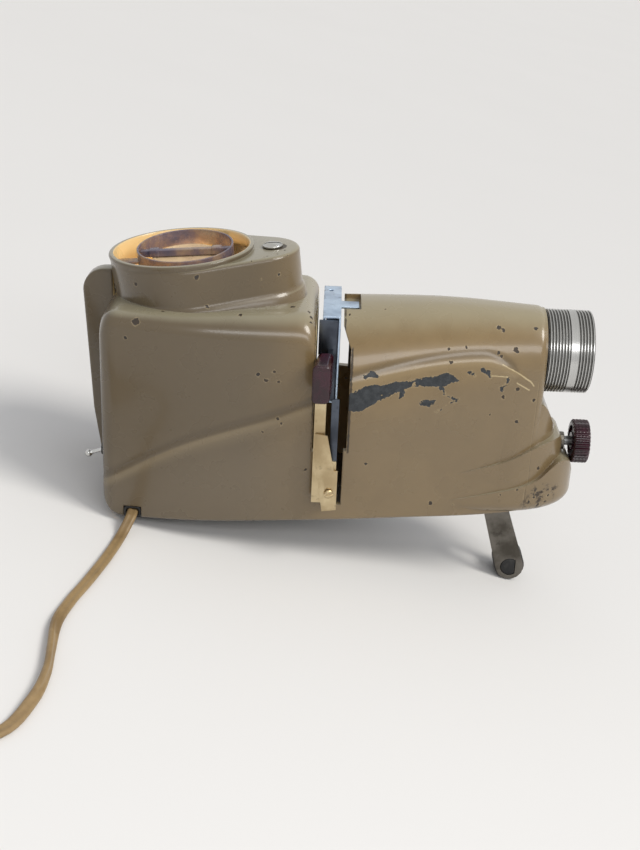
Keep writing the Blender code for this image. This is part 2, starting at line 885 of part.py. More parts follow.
def chimney_level(height, outward):
    """One ring of the chimney, on a plane that leans as the rim does."""
    sink = (RIM_Z - height) / (RIM_Z - SHOULDER_TOP)
    return [Vector((x, y, height + lean_height(x))) for x, y in chimney_outline(outward, sink)]


def chimney_body():
    """The chimney with its flared foot, and the raised rim of its well."""
    ear_top = RIM_Z - RIM_RISE
    levels = [
        chimney_level(SHOULDER_TOP - 3 * OVERRUN, CHIMNEY_FLARE + CHIMNEY_FILLET),
        chimney_level(SHOULDER_TOP, CHIMNEY_FLARE + CHIMNEY_FILLET * FILLET_FOOT_SHARE),
        chimney_level(SHOULDER_TOP + CHIMNEY_FILLET, CHIMNEY_FLARE),
        chimney_level(ear_top - CHIMNEY_FLARE, 0),
        chimney_level(ear_top, -CHIMNEY_FLARE),
    ]
    body = loft(levels, "chimney_body", paint())
    rim = []
    for height, radius in ((ear_top - RIM_BAND, RIM_RADIUS - 2 * CHIMNEY_FLARE),
                           (ear_top - RIM_BAND / 4, RIM_RADIUS + CHIMNEY_FLARE / 4), (RIM_Z, RIM_RADIUS)):
        rim.append([Vector((x, y, height + lean_height(x)))
                    for x, y in circle(CHIMNEY_X, 0, radius, ROUND_STEPS)])
    return join(body, loft(rim, "rim", paint()))


def chimney_well():
    """What the chimney leaves open: its well and the hollow under its ear."""
    radius = RIM_RADIUS - RIM_WALL
    foot = SHOULDER_TOP - SHOULDER_ROUND
    well = [[Vector((x, y, z + lean_height(x))) for x, y in circle(CHIMNEY_X, 0, radius, ROUND_STEPS)]
            for z in (foot, RIM_Z + 2 * OVERRUN)]
    top = RIM_Z - RIM_RISE - EAR_PLATE
    hollow = [chimney_level(z, -WALL - CHIMNEY_FILLET) for z in (foot, top)]
    return loft(well, "well", None), loft(hollow, "hollow", None)


def rear_fin():
    """The upright fin down the middle of the rear wall."""
    inner_x = REAR_X + WALL * 0.8
    chimney_back = CHIMNEY_X - RIM_RADIUS + RIM_WALL * 0.8
    run = FIN_FOOT_X - FIN_TOP_X
    outline = (
        [(inner_x, FIN_FOOT_Z), (FIN_FOOT_X + FIN_ROUND / 2, FIN_FOOT_Z)]
        + [(FIN_FOOT_X, FIN_FOOT_Z + FIN_ROUND / 2)]
        + [(FIN_TOP_X + run * 0.45, AXIS_Z * 0.5)]
        + list(reversed(arc(FIN_TOP_X + FIN_ROUND, FIN_TOP - FIN_ROUND, FIN_ROUND, 90, 180, 6)))
        + [(chimney_back, FIN_TOP), (inner_x, SHOULDER_TOP - REAR_TOP_ROUND)]
    )
    return prism(outline, -FIN_HALF, FIN_HALF, upright, "fin", paint())


def gate_slot():
    """The cuts that let the changer in from above and from the near side."""
    high = SHOULDER_TOP + RIM_Z
    upper = [
        (SLOT_REAR_X, SLOT_LOW_Z),
        (SLOT_FRONT_X, SLOT_LOW_Z),
        (SLOT_FRONT_X, GATE_TOP_Z - SHOULDER_ROUND),
        (SLOT_CROWN_X, GATE_TOP_Z - NOTCH_DEPTH),
        (SLOT_CROWN_X, high),
        (SLOT_REAR_X, high),
    ]
    near = prism(upper, -2 * WIDEST_HALF, 0, upright, "near_slot", None)
    far_shape = [(x, max(z, SLOT_FAR_Z)) for x, z in upper]
    far = prism(far_shape, -OVERRUN, 2 * WIDEST_HALF, upright, "far_slot", None)
    tail = [
        (SLOT_TAIL_REAR_X, SLOT_TAIL_Z),
        (SLOT_TAIL_FRONT_X, SLOT_TAIL_Z),
        (SLOT_TAIL_FRONT_X, SLOT_LOW_Z + OVERRUN),
        (SLOT_REAR_X, SLOT_LOW_Z + OVERRUN),
        (SLOT_REAR_X + 2 * OVERRUN * 0.3, SLOT_LOW_Z - OVERRUN),
    ]
    low = prism(tail, -2 * WIDEST_HALF, -GATE_HALF * 0.5, upright, "tail_slot", None)
    notch = box(
        (SLOT_CROWN_X - OVERRUN, NOTCH_NEAR_Y, GATE_TOP_Z - PLATE - GAP),
        (SLOT_CROWN_X + NOTCH_LENGTH, NOTCH_FAR_Y, high),
        "notch", None,
    )
    return near, far, low, notch


def boss_places():
    """Where the base plate's screws stand, close to the side walls."""
    rear = foot_half_width(BOSS_REAR_X) - WALL - BOSS_IN
    front = foot_half_width(BOSS_FRONT_X) - WALL - BOSS_IN
    return [(BOSS_REAR_X, -rear), (BOSS_REAR_X, rear), (BOSS_FRONT_X, -front), (BOSS_FRONT_X, front)]


def lean(obj, pivot):
    """Tip a piece over with the chimney about a point of its own."""
    turn = Matrix.Rotation(-CHIMNEY_LEAN, 4, "Y")
    place = Matrix.Translation(Vector(pivot))
    obj.data.transform(place @ turn @ place.inverted())
    return obj


def build_casting():
    casting = housing_shell(0, 0, 0, "body_casting")
    join(casting, crease_band(), bow(), upper_tier(), lower_tier(), rear_fin(), chimney_body())
    cut(
        casting,
        housing_shell(WALL, -(REAR_FOOT_ROUND + OVERRUN), 0, "cavity"),
        *nose_hollows(),
        *chimney_well(),
    )
    axis = (0, 0, AXIS_Z)
    boss_rear = SLEEVE_FRONT_X - 4 * WALL
    join(casting, rod(boss_rear, SLEEVE_FRONT_X, SLEEVE_RADIUS + BORE_WALL, axis, along_x,
                      "lens_boss", None, ROUND_STEPS))
    join(casting, box((SLOT_CROWN_X - WALL / 2, NOTCH_NEAR_Y - WALL, GATE_TOP_Z - NOTCH_DEPTH),
                      (SLOT_CROWN_X + NOTCH_LENGTH + WALL, NOTCH_FAR_Y + WALL, GATE_TOP_Z),
                      "notch_seat", None))
    for x, y in boss_places():
        boss = rod(BASE_TOP_Z + GAP, BOSS_HEIGHT, BOSS_RADIUS, (x, y, 0), along_z, "boss", None)
        join(casting, boss)
    cut(casting, *gate_slot())
    cut(casting, rod(boss_rear - OVERRUN, FACE_X + OVERRUN, SLEEVE_RADIUS + GAP, axis, along_x,
                     "lens_bore", None, ROUND_STEPS))
    for x, y in boss_places():
        cut(casting, rod(0, BOSS_HEIGHT - OVERRUN, SCREW_SHANK_RADIUS + GAP, (x, y, 0), along_z,
                         "screw_hole", None))
    lift = (0, 0, LIFT_Z)
    cut(
        casting,
        rod(BUSH_REAR_X - OVERRUN, BUSH_FRONT_X + OVERRUN, BUSH_RADIUS + GAP, lift, along_x,
            "bush_hole", None),
        rod(REAR_X - OVERRUN, REAR_X + WALL + OVERRUN, SWITCH_NECK_RADIUS + GAP,
            (0, SWITCH_Y, SWITCH_Z), along_x, "switch_hole", None),
        lean(rod(ear_top_z() - EAR_PLATE - OVERRUN, ear_top_z() + OVERRUN, EAR_SCREW_SHANK + GAP,
                 (EAR_SCREW_X, 0, 0), along_z, "ear_hole", None), (EAR_SCREW_X, 0, ear_top_z())),
        box((OUTLET_X - OUTLET_HALF, -2 * WIDEST_HALF, -OVERRUN),
            (OUTLET_X + OUTLET_HALF, -OUTLET_NOTCH_Y, OUTLET_HEIGHT), "outlet", None),
    )


def ear_top_z():
    """Height of the chimney's ear where its screw sits."""
    return RIM_Z - RIM_RISE + lean_height(EAR_SCREW_X)


def base_outline():
    def side(x):
        return foot_half_width(x) - WALL - BASE_GAP
    corner_x = BASE_REAR_X + BASE_CORNER
    corner = arc(corner_x, -(side(corner_x) - BASE_CORNER), BASE_CORNER, 180, 270, 4)
    steps = 2 * RING_STEPS
    run = [corner_x + (BASE_NECK_X - corner_x) * i / steps for i in range(1, steps + 1)]
    near = corner + [(x, -side(x)) for x in run]
    reach = BASE_NOSE_X - BOW_START_X
    half = half_width(BOW_START_X) + LOWER_TIER_OUT - NOSE_WALL - BASE_GAP
    nose = [(BOW_START_X + reach * x, half * y) for x, y in arc(0, 0, 1, -90, 90, steps)]
    return near + nose + [(x, -y) for x, y in reversed(near)]


def build_base():
    """The base plate with the ears of the leg's pivot and the bearing of its screw."""
    plate = prism(base_outline(), BASE_FOOT_Z, BASE_TOP_Z, flat, "base_plate", steel())
    inner = LEG_HALF + LEG_SLOT_SIDE + GAP
    outer = inner + EAR_SHEET
    ear_top = PIVOT_Z + PIVOT_EAR_HALF
    ear = [(PIVOT_X + PIVOT_EAR_HALF, BASE_FOOT_Z + GAP), (PIVOT_X + PIVOT_EAR_HALF, PIVOT_Z)]
    ear += arc(PIVOT_X, PIVOT_Z, PIVOT_EAR_HALF, 0, 180, 8)[1:]
    ear += [(PIVOT_X - PIVOT_EAR_HALF, BASE_FOOT_Z + GAP)]
    for side in (-1, 1):
        low, high = sorted((side * inner, side * outer))
        join(plate, prism(ear, low, high, upright, "ear", None))
    bearing_top = LIFT_Z + 2 * COLLAR_RADIUS
    span = rectangle(-outer, outer, BASE_FOOT_Z + GAP, bearing_top)
    bearing = prism(span, BEARING_X, BEARING_X + EAR_SHEET, facing, "bearing", None)
    cut(bearing, box((BEARING_X - OVERRUN, -inner, -OVERRUN),
                     (BEARING_X + OVERRUN, inner, LIFT_Z - COLLAR_RADIUS), "leg_room", None))
    join(plate, bearing)
    cut(plate, rod(BEARING_X - OVERRUN, BEARING_X + OVERRUN, SHAFT_RADIUS + RUNNING_GAP,
                   (0, 0, LIFT_Z), along_x, "shaft_hole", None))
    cut(plate, rod(-2 * outer, 2 * outer, PIVOT_RADIUS + GAP, (PIVOT_X, 0, PIVOT_Z), along_y,
                   "pivot_hole", None))
    slot_half = LEG_HALF + LEG_SLOT_SIDE
    cut(plate, box((LEG_SLOT_REAR_X, -slot_half, -OVERRUN), (LEG_SLOT_FRONT_X, slot_half, BASE_TOP_Z + GAP),
                   "leg_slot", None))
    cut(plate, box((OUTLET_X - OUTLET_HALF, -WIDEST_HALF, -OVERRUN),
                   (OUTLET_X + OUTLET_HALF, -OUTLET_NOTCH_Y, OUTLET_HEIGHT), "outlet", None))
    for x, y in boss_places():
        cut(plate, rod(-OVERRUN, BASE_TOP_Z + OVERRUN, SCREW_SHANK_RADIUS + GAP, (x, y, 0), along_z,
                       "screw_hole", None))
    for i, (x, y) in enumerate(boss_places()):
        build_screw("base_screw_%d" % (i + 1), (x, y, BASE_FOOT_Z - GAP), Matrix.Rotation(math.pi, 4, "X"))


def build_screw(name, place, turn):
    """A slotted screw whose head stands up from its place before it is turned."""
    profile = [
        (-SCREW_SHANK_LENGTH, 0),
        (-SCREW_SHANK_LENGTH, SCREW_SHANK_RADIUS),
        (0, SCREW_SHANK_RADIUS),
        (0, SCREW_HEAD_RADIUS),
        (SCREW_HEAD_HEIGHT / 2, SCREW_HEAD_RADIUS),
        (SCREW_HEAD_HEIGHT, SCREW_HEAD_RADIUS * 0.7),
        (SCREW_HEAD_HEIGHT, 0),
    ]
    screw = turned(profile, (0, 0, 0), along_z, name, steel(), SMALL_STEPS)
    half = SCREW_SLOT / 2
    reach = 2 * SCREW_HEAD_RADIUS
    cut(screw, box((-reach, -half, SCREW_HEAD_HEIGHT / 2), (reach, half, 2 * SCREW_HEAD_HEIGHT), "slot", None))
    screw.data.transform(Matrix.Translation(Vector(place)) @ turn)
    return screw


def build_feet():
    top = BASE_FOOT_Z - GAP
    for name, side in (("rear_foot_left", -1), ("rear_foot_right", 1)):
        profile = [
            (top - FOOT_HEIGHT, 0),
            (top - FOOT_HEIGHT, FOOT_RADIUS - FOOT_EDGE),
            (top - FOOT_HEIGHT + FOOT_EDGE, FOOT_RADIUS),
            (top, FOOT_RADIUS),
            (top, 0),
        ]
        turned(profile, (FOOT_X, side * FOOT_Y, 0), along_z, name, rubber(), 20)


def build_grommet():
    """A lining round the cord where it leaves the near wall."""
    half = OUTLET_HALF - GAP
    wall_y = foot_half_width(OUTLET_X)
    outline = rounded(OUTLET_X - half, OUTLET_X + half, GAP, OUTLET_HEIGHT - GAP, half * 0.35)
    body = prism(outline, -(wall_y + GROMMET_LIP), -(OUTLET_NOTCH_Y + GAP), upright, "cord_grommet", rubber())
    inner_half = half - GROMMET_WALL
    low, high = GAP + GROMMET_WALL, OUTLET_HEIGHT - GAP - GROMMET_WALL
    hole = rounded(OUTLET_X - inner_half, OUTLET_X + inner_half, low, high, (high - low) * 0.49)
    cut(body, prism(hole, -2 * WIDEST_HALF, 0, upright, "hole", None))


def build_baffle():
    """The steel hoop in the chimney, its crossbar and the disc that hangs under it."""
    centre_x = BAFFLE_X + BAFFLE_HEIGHT * math.sin(CHIMNEY_LEAN)
    foot = RIM_Z + lean_height(BAFFLE_X) + BAFFLE_RISE - BAFFLE_HEIGHT
    top = foot + BAFFLE_HEIGHT
    centre = (centre_x, 0, foot)
    band = tube(foot, top, BAFFLE_RADIUS, BAFFLE_RADIUS - BAFFLE_SHEET, centre, along_z, "baffle_band", steel())
    well = RIM_RADIUS - RIM_WALL
    half = BAFFLE_LUG_WIDTH / 2
    offset = CHIMNEY_X - centre_x
    for turn in (60, 180, 300):
        angle = math.radians(turn)
        reach = (offset * math.cos(angle)
                 + math.sqrt(well**2 - (offset * math.sin(angle)) ** 2 - half**2) - ARM_CLEARANCE)
        arm = box((BAFFLE_RADIUS - BAFFLE_SHEET / 2, -half, foot), (reach, half, foot + BAFFLE_SHEET), "arm", None)
        arm.data.transform(Matrix.Translation(Vector((centre_x, 0, 0))) @ Matrix.Rotation(angle, 4, "Z"))
        join(band, arm)
    bar_top = top - CROSSBAR_DROP
    bar_reach = BAFFLE_RADIUS - BAFFLE_SHEET - 2 * GAP
    bar = box((centre_x - bar_reach, -CROSSBAR_HALF, bar_top - CROSSBAR_HEIGHT),
              (centre_x + bar_reach, CROSSBAR_HALF, bar_top), "baffle_crossbar", steel())
    disc_top = bar_top - CROSSBAR_HEIGHT - GAP
    disc = rod(disc_top - DISC_SHEET, disc_top, DISC_RADIUS, centre, along_z, "baffle_disc", steel(), ROUND_STEPS)
    place = Matrix.Translation(Vector(centre))
    turn = Matrix.Rotation(-CHIMNEY_LEAN, 4, "Y") @ Matrix.Rotation(BAFFLE_ROLL, 4, "X")
    for obj in (band, bar, disc):
        obj.data.transform(place @ turn @ place.inverted())
        set_origin(obj, centre)


def build_ear_screw():
    """The chrome screw on the chimney's ear, which clamps the condenser holder."""
    top = ear_top_z() + GAP
    profile = [
        (top - EAR_SCREW_LENGTH, 0),
        (top - EAR_SCREW_LENGTH, EAR_SCREW_SHANK),
        (top, EAR_SCREW_SHANK),
        (top, EAR_SCREW_RADIUS),
        (top + EAR_SCREW_HEAD / 2, EAR_SCREW_RADIUS),
        (top + EAR_SCREW_HEAD, EAR_SCREW_RADIUS * 0.75),
        (top + EAR_SCREW_HEAD, 0),
    ]
    centre = (EAR_SCREW_X, 0, 0)
    screw = turned(profile, centre, along_z, "chimney_screw", chrome(), 24)
    half = SCREW_SLOT
    cut(screw, box((EAR_SCREW_X - 2 * EAR_SCREW_RADIUS, -half, top + EAR_SCREW_HEAD / 2),
                   (EAR_SCREW_X + 2 * EAR_SCREW_RADIUS, half, top + 2 * EAR_SCREW_HEAD), "slot", None))
    pivot = (EAR_SCREW_X, 0, ear_top_z())
    set_origin(lean(screw, pivot), pivot)


def build_lamp():
    """The lamp, its socket and the bracket that carries them."""
    centre = (LAMP_X, 0, 0)
    floor = BASE_TOP_Z + GAP
    top = SOCKET_FOOT_Z - GAP
    bracket = box((LAMP_X - STAND_DEPTH / 2, -STAND_HALF, top - PLATE), (LAMP_X + STAND_DEPTH / 2, STAND_HALF, top),
                  "socket_bracket", steel())
    for side in (-1, 1):
        low, high = sorted((side * (STAND_HALF - PLATE), side * STAND_HALF))
        join(bracket, box((LAMP_X - STAND_DEPTH / 2, low, floor), (LAMP_X + STAND_DEPTH / 2, high, top - PLATE / 2),
                          "side", None))
        low, high = sorted((side * (STAND_HALF - PLATE / 2), side * (STAND_HALF + SOCKET_FOOT_WIDTH)))
        join(bracket, box((LAMP_X - STAND_DEPTH / 2, low, floor), (LAMP_X + STAND_DEPTH / 2, high, floor + PLATE),
                          "flange", None))
    inner = CAP_RADIUS + GAP
    socket = [
        (SOCKET_FOOT_Z, 0),
        (SOCKET_FOOT_Z, SOCKET_FLANGE),
        (SOCKET_FOOT_Z + SOCKET_FLANGE_THICK, SOCKET_FLANGE),
        (SOCKET_FOOT_Z + SOCKET_FLANGE_THICK, SOCKET_RADIUS),
        (SOCKET_TOP_Z, SOCKET_RADIUS),
        (SOCKET_TOP_Z, inner),
        (CAP_FOOT_Z - GAP, inner),
        (CAP_FOOT_Z - GAP, 0),
    ]
    turned(socket, centre, along_z, "lamp_socket", ceramic(), 24)
    rod(CAP_FOOT_Z, LAMP_FOOT_Z - GAP, CAP_RADIUS, centre, along_z, "lamp_base", brass(), 24)
    dome = LAMP_TOP_Z - LAMP_RADIUS
    bulb = [(LAMP_FOOT_Z, 0), (LAMP_FOOT_Z, LAMP_RADIUS * 0.7), (LAMP_FOOT_Z + LAMP_RADIUS * 0.3, LAMP_RADIUS)]
    bulb += [(dome + z, r) for r, z in arc(0, 0, LAMP_RADIUS, 0, 90, 4)[:-1]] + [(LAMP_TOP_Z, 0)]
    turned(bulb, centre, along_z, "lamp_bulb", glass(), 24)


def build_reflector():
    """The concave mirror behind the lamp and its bracket."""
    axis = (0, 0, AXIS_Z)
    shares = (0, 0.35, 0.7, 1)
    def bowl(share):
        r = MIRROR_RADIUS * share
        return MIRROR_X + MIRROR_CURVE - math.sqrt(MIRROR_CURVE**2 - r**2)
    profile = [(bowl(s), MIRROR_RADIUS * s) for s in shares]
    profile += [(bowl(s) - MIRROR_THICK, MIRROR_RADIUS * s) for s in reversed(shares)]
    mirror = turned(profile, axis, along_x, "reflector", aluminium(), ROUND_STEPS)
    plate_front = MIRROR_PLATE_X + PLATE
    join(mirror, rod(plate_front + GAP, MIRROR_X - MIRROR_THICK / 2, MIRROR_STEM_RADIUS, axis, along_x, "stem", None))
    half = MIRROR_PLATE_HALF
    floor = BASE_TOP_Z + GAP
    bracket = box((MIRROR_PLATE_X, -half, floor), (plate_front, half, AXIS_Z + half), "reflector_bracket", steel())
    join(bracket, box((plate_front - PLATE / 2, -half, floor),
                      (MIRROR_PLATE_X + MIRROR_FOOT_LENGTH, half, floor + PLATE), "foot", None))


def lens(low, high, low_bulge, high_bulge, radius, name, steps=24):
    """A round glass between two curved faces, on the lens axis."""
    shares = (0, 0.5, 1)
    profile = [(low - low_bulge * (1 - s * s), radius * s) for s in shares]
    profile += [(high + high_bulge * (1 - s * s), radius * s) for s in reversed(shares)]
    return turned(profile, (0, 0, AXIS_Z), along_x, name, glass(), steps)


def build_condensers():
    """Two condensers and a heat glass in one holder."""
    edge = CONDENSER_THICK / 2 - CONDENSER_BULGE / 2
    lens(CONDENSER_REAR_X - edge, CONDENSER_REAR_X + edge, 0, CONDENSER_BULGE, CONDENSER_RADIUS,
         "condenser_lens_rear")
    lens(CONDENSER_FRONT_X - edge, CONDENSER_FRONT_X + edge, CONDENSER_BULGE, 0, CONDENSER_RADIUS,
         "condenser_lens_front")
    half = HEAT_GLASS_THICK / 2
    rod(HEAT_GLASS_X - half, HEAT_GLASS_X + half, CONDENSER_RADIUS, (0, 0, AXIS_Z), along_x, "heat_glass",
        glass(), 24)
    axis = (0, 0, AXIS_Z)
    inner = CONDENSER_RADIUS + GAP
    outer = CONDENSER_RADIUS + GAP + HOLDER_WALL
    holder = rod(HOLDER_REAR_X, HOLDER_FRONT_X, outer, axis, along_x, "condenser_holder", aluminium(), ROUND_STEPS)
    sheet = HOLDER_STAND_SHEET / 2
    half = HOLDER_FOOT_HALF
    floor = BASE_TOP_Z + GAP
    join(holder, box((HOLDER_STAND_X - sheet, -half, floor), (HOLDER_STAND_X + sheet, half, AXIS_Z - inner),
                     "stand", None))
    join(holder, box((HOLDER_STAND_X - half, -half, floor),
                     (HOLDER_STAND_X + half, half, floor + HOLDER_STAND_SHEET), "foot", None))
    under_ear = ear_top_z() - EAR_PLATE - HOLDER_POST_RADIUS * math.tan(CHIMNEY_LEAN) - GAP
    join(holder, rod(AXIS_Z + inner, under_ear, HOLDER_POST_RADIUS, (EAR_SCREW_X, 0, 0), along_z, "post", None))
    cut(holder, rod(HOLDER_REAR_X - OVERRUN, HOLDER_FRONT_X + OVERRUN, inner, axis, along_x, "bore", None,
                    ROUND_STEPS))
    top = ear_top_z()
    cut(holder, lean(rod(top - EAR_SCREW_LENGTH - GAP, top + OVERRUN, EAR_SCREW_SHANK + GAP,
                         (EAR_SCREW_X, 0, 0), along_z, "hole", None), (EAR_SCREW_X, 0, top)))


def build_gate():
    """The fixed frame that guides the carrier, with its tab in the notch."""
    frame = box((GATE_REAR_X, GATE_NEAR_Y, GATE_FOOT_Z), (GATE_FRONT_X, GATE_FAR_Y, GATE_TOP_Z),
                "gate_frame", steel())
    cut(frame, box((GATE_REAR_X + PLATE, GATE_NEAR_Y - OVERRUN, GATE_FOOT_Z + PLATE),
                   (GATE_FRONT_X - PLATE, GATE_FAR_Y + OVERRUN, GATE_TOP_Z - PLATE), "channel", None))
    half = GATE_WINDOW / 2
    cut(frame, box((GATE_REAR_X - OVERRUN, -half, AXIS_Z - half), (GATE_FRONT_X + OVERRUN, half, AXIS_Z + half),
                   "window", None))
    near = TAB_CENTRE_Y - TAB_WIDTH / 2
    join(frame, box((GATE_FRONT_X - PLATE, near, GATE_TOP_Z - PLATE),
                    (GATE_FRONT_X + TAB_LENGTH, near + TAB_WIDTH, GATE_TOP_Z), "tab", None))
    cut(frame, rod(GATE_TOP_Z - 2 * PLATE, GATE_TOP_Z + PLATE, EYE_RADIUS, (EYE_X, EYE_Y, 0), along_z,
                   "eye", None, 12))


def build_carrier():
    """The slide carrier, pulled out by its handle at the near side."""
    half = CARRIER_THICK / 2
    middle = (CARRIER_NEAR_Y + CARRIER_FAR_Y) / 2
    carrier = box((-half, CARRIER_NEAR_Y, CARRIER_FOOT_Z), (half, CARRIER_FAR_Y, CARRIER_TOP_Z),
                  "slide_carrier", steel())
    side = SLIDE_SIDE / 2
    window = CARRIER_WINDOW / 2
    depth = SLIDE_DEPTH / 2
    cut(
        carrier,
        box((-depth, middle - side, AXIS_Z - side), (depth, middle + side, CARRIER_TOP_Z + OVERRUN), "pocket", None),
        box((-2 * half, middle - window, AXIS_Z - window), (2 * half, middle + window, AXIS_Z + window),
            "window", None),
    )
    plate_near = CARRIER_NEAR_Y - END_PLATE_SHEET
    join(
        carrier,
        box((END_PLATE_REAR_X, plate_near, CARRIER_TOP_Z - END_DROP),
            (END_PLATE_FRONT_X, CARRIER_NEAR_Y + GAP, CARRIER_TOP_Z), "end_plate", None),
        box((-ARM_HALF, HANDLE_FAR_Y + GAP, ARM_FOOT_Z), (ARM_HALF, CARRIER_NEAR_Y + GAP, ARM_TOP_Z), "arm", None),
    )
    rings = []
    for y, share, inset in ((HANDLE_NEAR_Y, 0, HANDLE_EDGE), (HANDLE_NEAR_Y + HANDLE_EDGE / 2, 0.03, HANDLE_EDGE / 3),
                            (HANDLE_NEAR_Y + 2 * HANDLE_EDGE, 0.08, 0), (HANDLE_FAR_Y, 1, 0)):
        x = HANDLE_NEAR_X + (HANDLE_FAR_X - HANDLE_NEAR_X) * share
        wide = HANDLE_NEAR_HALF + (HANDLE_FAR_HALF - HANDLE_NEAR_HALF) * share - inset
        outline = rounded(x - wide, x + wide, HANDLE_FOOT_Z + inset, HANDLE_TOP_Z - inset, HANDLE_ROUND - inset)
        rings.append([Vector((u, y, v)) for u, v in outline])
    loft(rings, "carrier_handle", maroon())


def fold_angle():
    return math.atan2(BRACKET_FOLD_OUT, BRACKET_FRONT_X - BRACKET_FOLD_FOOT_X)


def facet_y(x):
    """Outer face of the bracket's front facet."""
    return BRACKET_Y - BRACKET_SHEET - (BRACKET_FRONT_X - x) * math.tan(fold_angle())


def build_strap():
    """The strap under the handle, its tail in the slot, and the folded bracket over it."""
    rear, front = STRAP_X - STRAP_WIDTH / 2, STRAP_X + STRAP_WIDTH / 2
    near = STRAP_Y - STRAP_THICK
    strap = box((rear, near, TAIL_FOOT_Z), (front, STRAP_Y, HANDLE_FOOT_Z - GAP), "handle_strap", steel())
    join(
        strap,
        box((rear, near, TAIL_FOOT_Z), (TAIL_FRONT_X, STRAP_Y, STRAP_FOOT_TOP_Z), "strap_foot", None),
        box((TAIL_REAR_X, STRAP_Y - GAP, TAIL_FOOT_Z), (TAIL_FRONT_X, TAIL_FAR_Y, TAIL_TOP_Z), "tail", None),
    )
    outline = [
        (BRACKET_REAR_X, BRACKET_TOP_Z, 0),
        (BRACKET_FOLD_TOP_X, BRACKET_TOP_Z, BRACKET_FOLD_OUT),
        (BRACKET_STEP_X, BRACKET_STEP_Z, BRACKET_FOLD_OUT * 0.25),
        (BRACKET_FRONT_X, BRACKET_STEP_Z, 0),
        (BRACKET_FRONT_X, BRACKET_FOOT_Z, 0),
        (BRACKET_FOLD_FOOT_X, BRACKET_FOOT_Z, BRACKET_FOLD_OUT),
        (BRACKET_REAR_X, BRACKET_SHOULDER_Z, 0),
    ]
    rings = [[Vector((x, BRACKET_Y - out - sheet, z)) for x, z, out in outline] for sheet in (0, BRACKET_SHEET)]
    bracket = loft(rings, "handle_bracket", steel())
    turn = Matrix.Rotation(fold_angle(), 4, "Z") @ Matrix.Rotation(math.pi / 2, 4, "X")
    place = Vector((SCREW_X, facet_y(SCREW_X) - GAP, SCREW_Z))
    build_screw("bracket_screw", place, turn)
    for obj in (strap, bracket):
        hole = rod(-SCREW_SHANK_LENGTH - OVERRUN, OVERRUN, SCREW_SHANK_RADIUS + GAP, (0, 0, 0), along_z, "hole", None)
        hole.data.transform(Matrix.Translation(place) @ turn)
        cut(obj, hole)


def barrel_profile():
    """Grooves, a plain band and grooves again, then the bore."""
    profile = [(BARREL_TAIL_X, BARREL_TAIL_RADIUS), (BARREL_REAR_X, BARREL_TAIL_RADIUS)]
    land = RIB_PITCH * RIB_LAND_SHARE
    for start, end in ((BARREL_REAR_X, BAND_START_X), (BAND_START_X + BAND_WIDTH, BARREL_FRONT_X)):
        count = round((end - start) / RIB_PITCH)
        pitch = (end - start) / count
        for i in range(count):
            x = start + i * pitch
            profile += [(x, BARREL_RADIUS), (x + land, BARREL_RADIUS), (x + (land + pitch) / 2, BARREL_ROOT)]
        profile.append((end, BARREL_RADIUS if end == BAND_START_X else BARREL_ROOT))
    return profile + [(BARREL_FRONT_X, BARREL_BORE), (BARREL_TAIL_X, BARREL_BORE)]


def build_lens():
    """The focusing lens: fixed sleeve, ribbed barrel, and the cell with its glasses."""
    axis = (0, 0, AXIS_Z)
    tube(SLEEVE_REAR_X, SLEEVE_FRONT_X, SLEEVE_RADIUS, BARREL_TAIL_RADIUS + RUNNING_GAP, axis, along_x,
         "lens_sleeve", aluminium())
    set_origin(turned(barrel_profile(), axis, along_x, "lens_barrel", aluminium()), (BARREL_REAR_X, 0, AXIS_Z))
    outer = BARREL_BORE - RUNNING_GAP
    bore = LENS_RADIUS + GAP
    seat = LENS_RADIUS - LENS_SEAT
    cell = [
        (CELL_REAR_X, seat),
        (CELL_REAR_X, outer),
        (CELL_FRONT_X, outer),
        (CELL_FRONT_X, bore),
        (FRONT_GLASS_X - GAP, bore),
        (FRONT_GLASS_X - GAP, seat),
        (REAR_GLASS_X + REAR_GLASS_THICK + GAP, seat),
        (REAR_GLASS_X + REAR_GLASS_THICK + GAP, bore),
        (REAR_GLASS_X - GAP, bore),
        (REAR_GLASS_X - GAP, seat),
    ]
    set_origin(turned(cell, axis, along_x, "lens_cell", aluminium()), (CELL_REAR_X, 0, AXIS_Z))
    front_edge = FRONT_GLASS_X + FRONT_GLASS_THICK / 2
    lens(FRONT_GLASS_X, front_edge, 0, GLASS_BULGE, LENS_RADIUS, "lens_element_front")
    lens(REAR_GLASS_X, REAR_GLASS_X + REAR_GLASS_THICK, 0, 0, LENS_RADIUS, "lens_element_rear")
    tube(front_edge + GAP, front_edge + GAP + RING_LENGTH, LENS_RADIUS, seat, axis, along_x,
         "retaining_ring", aluminium())


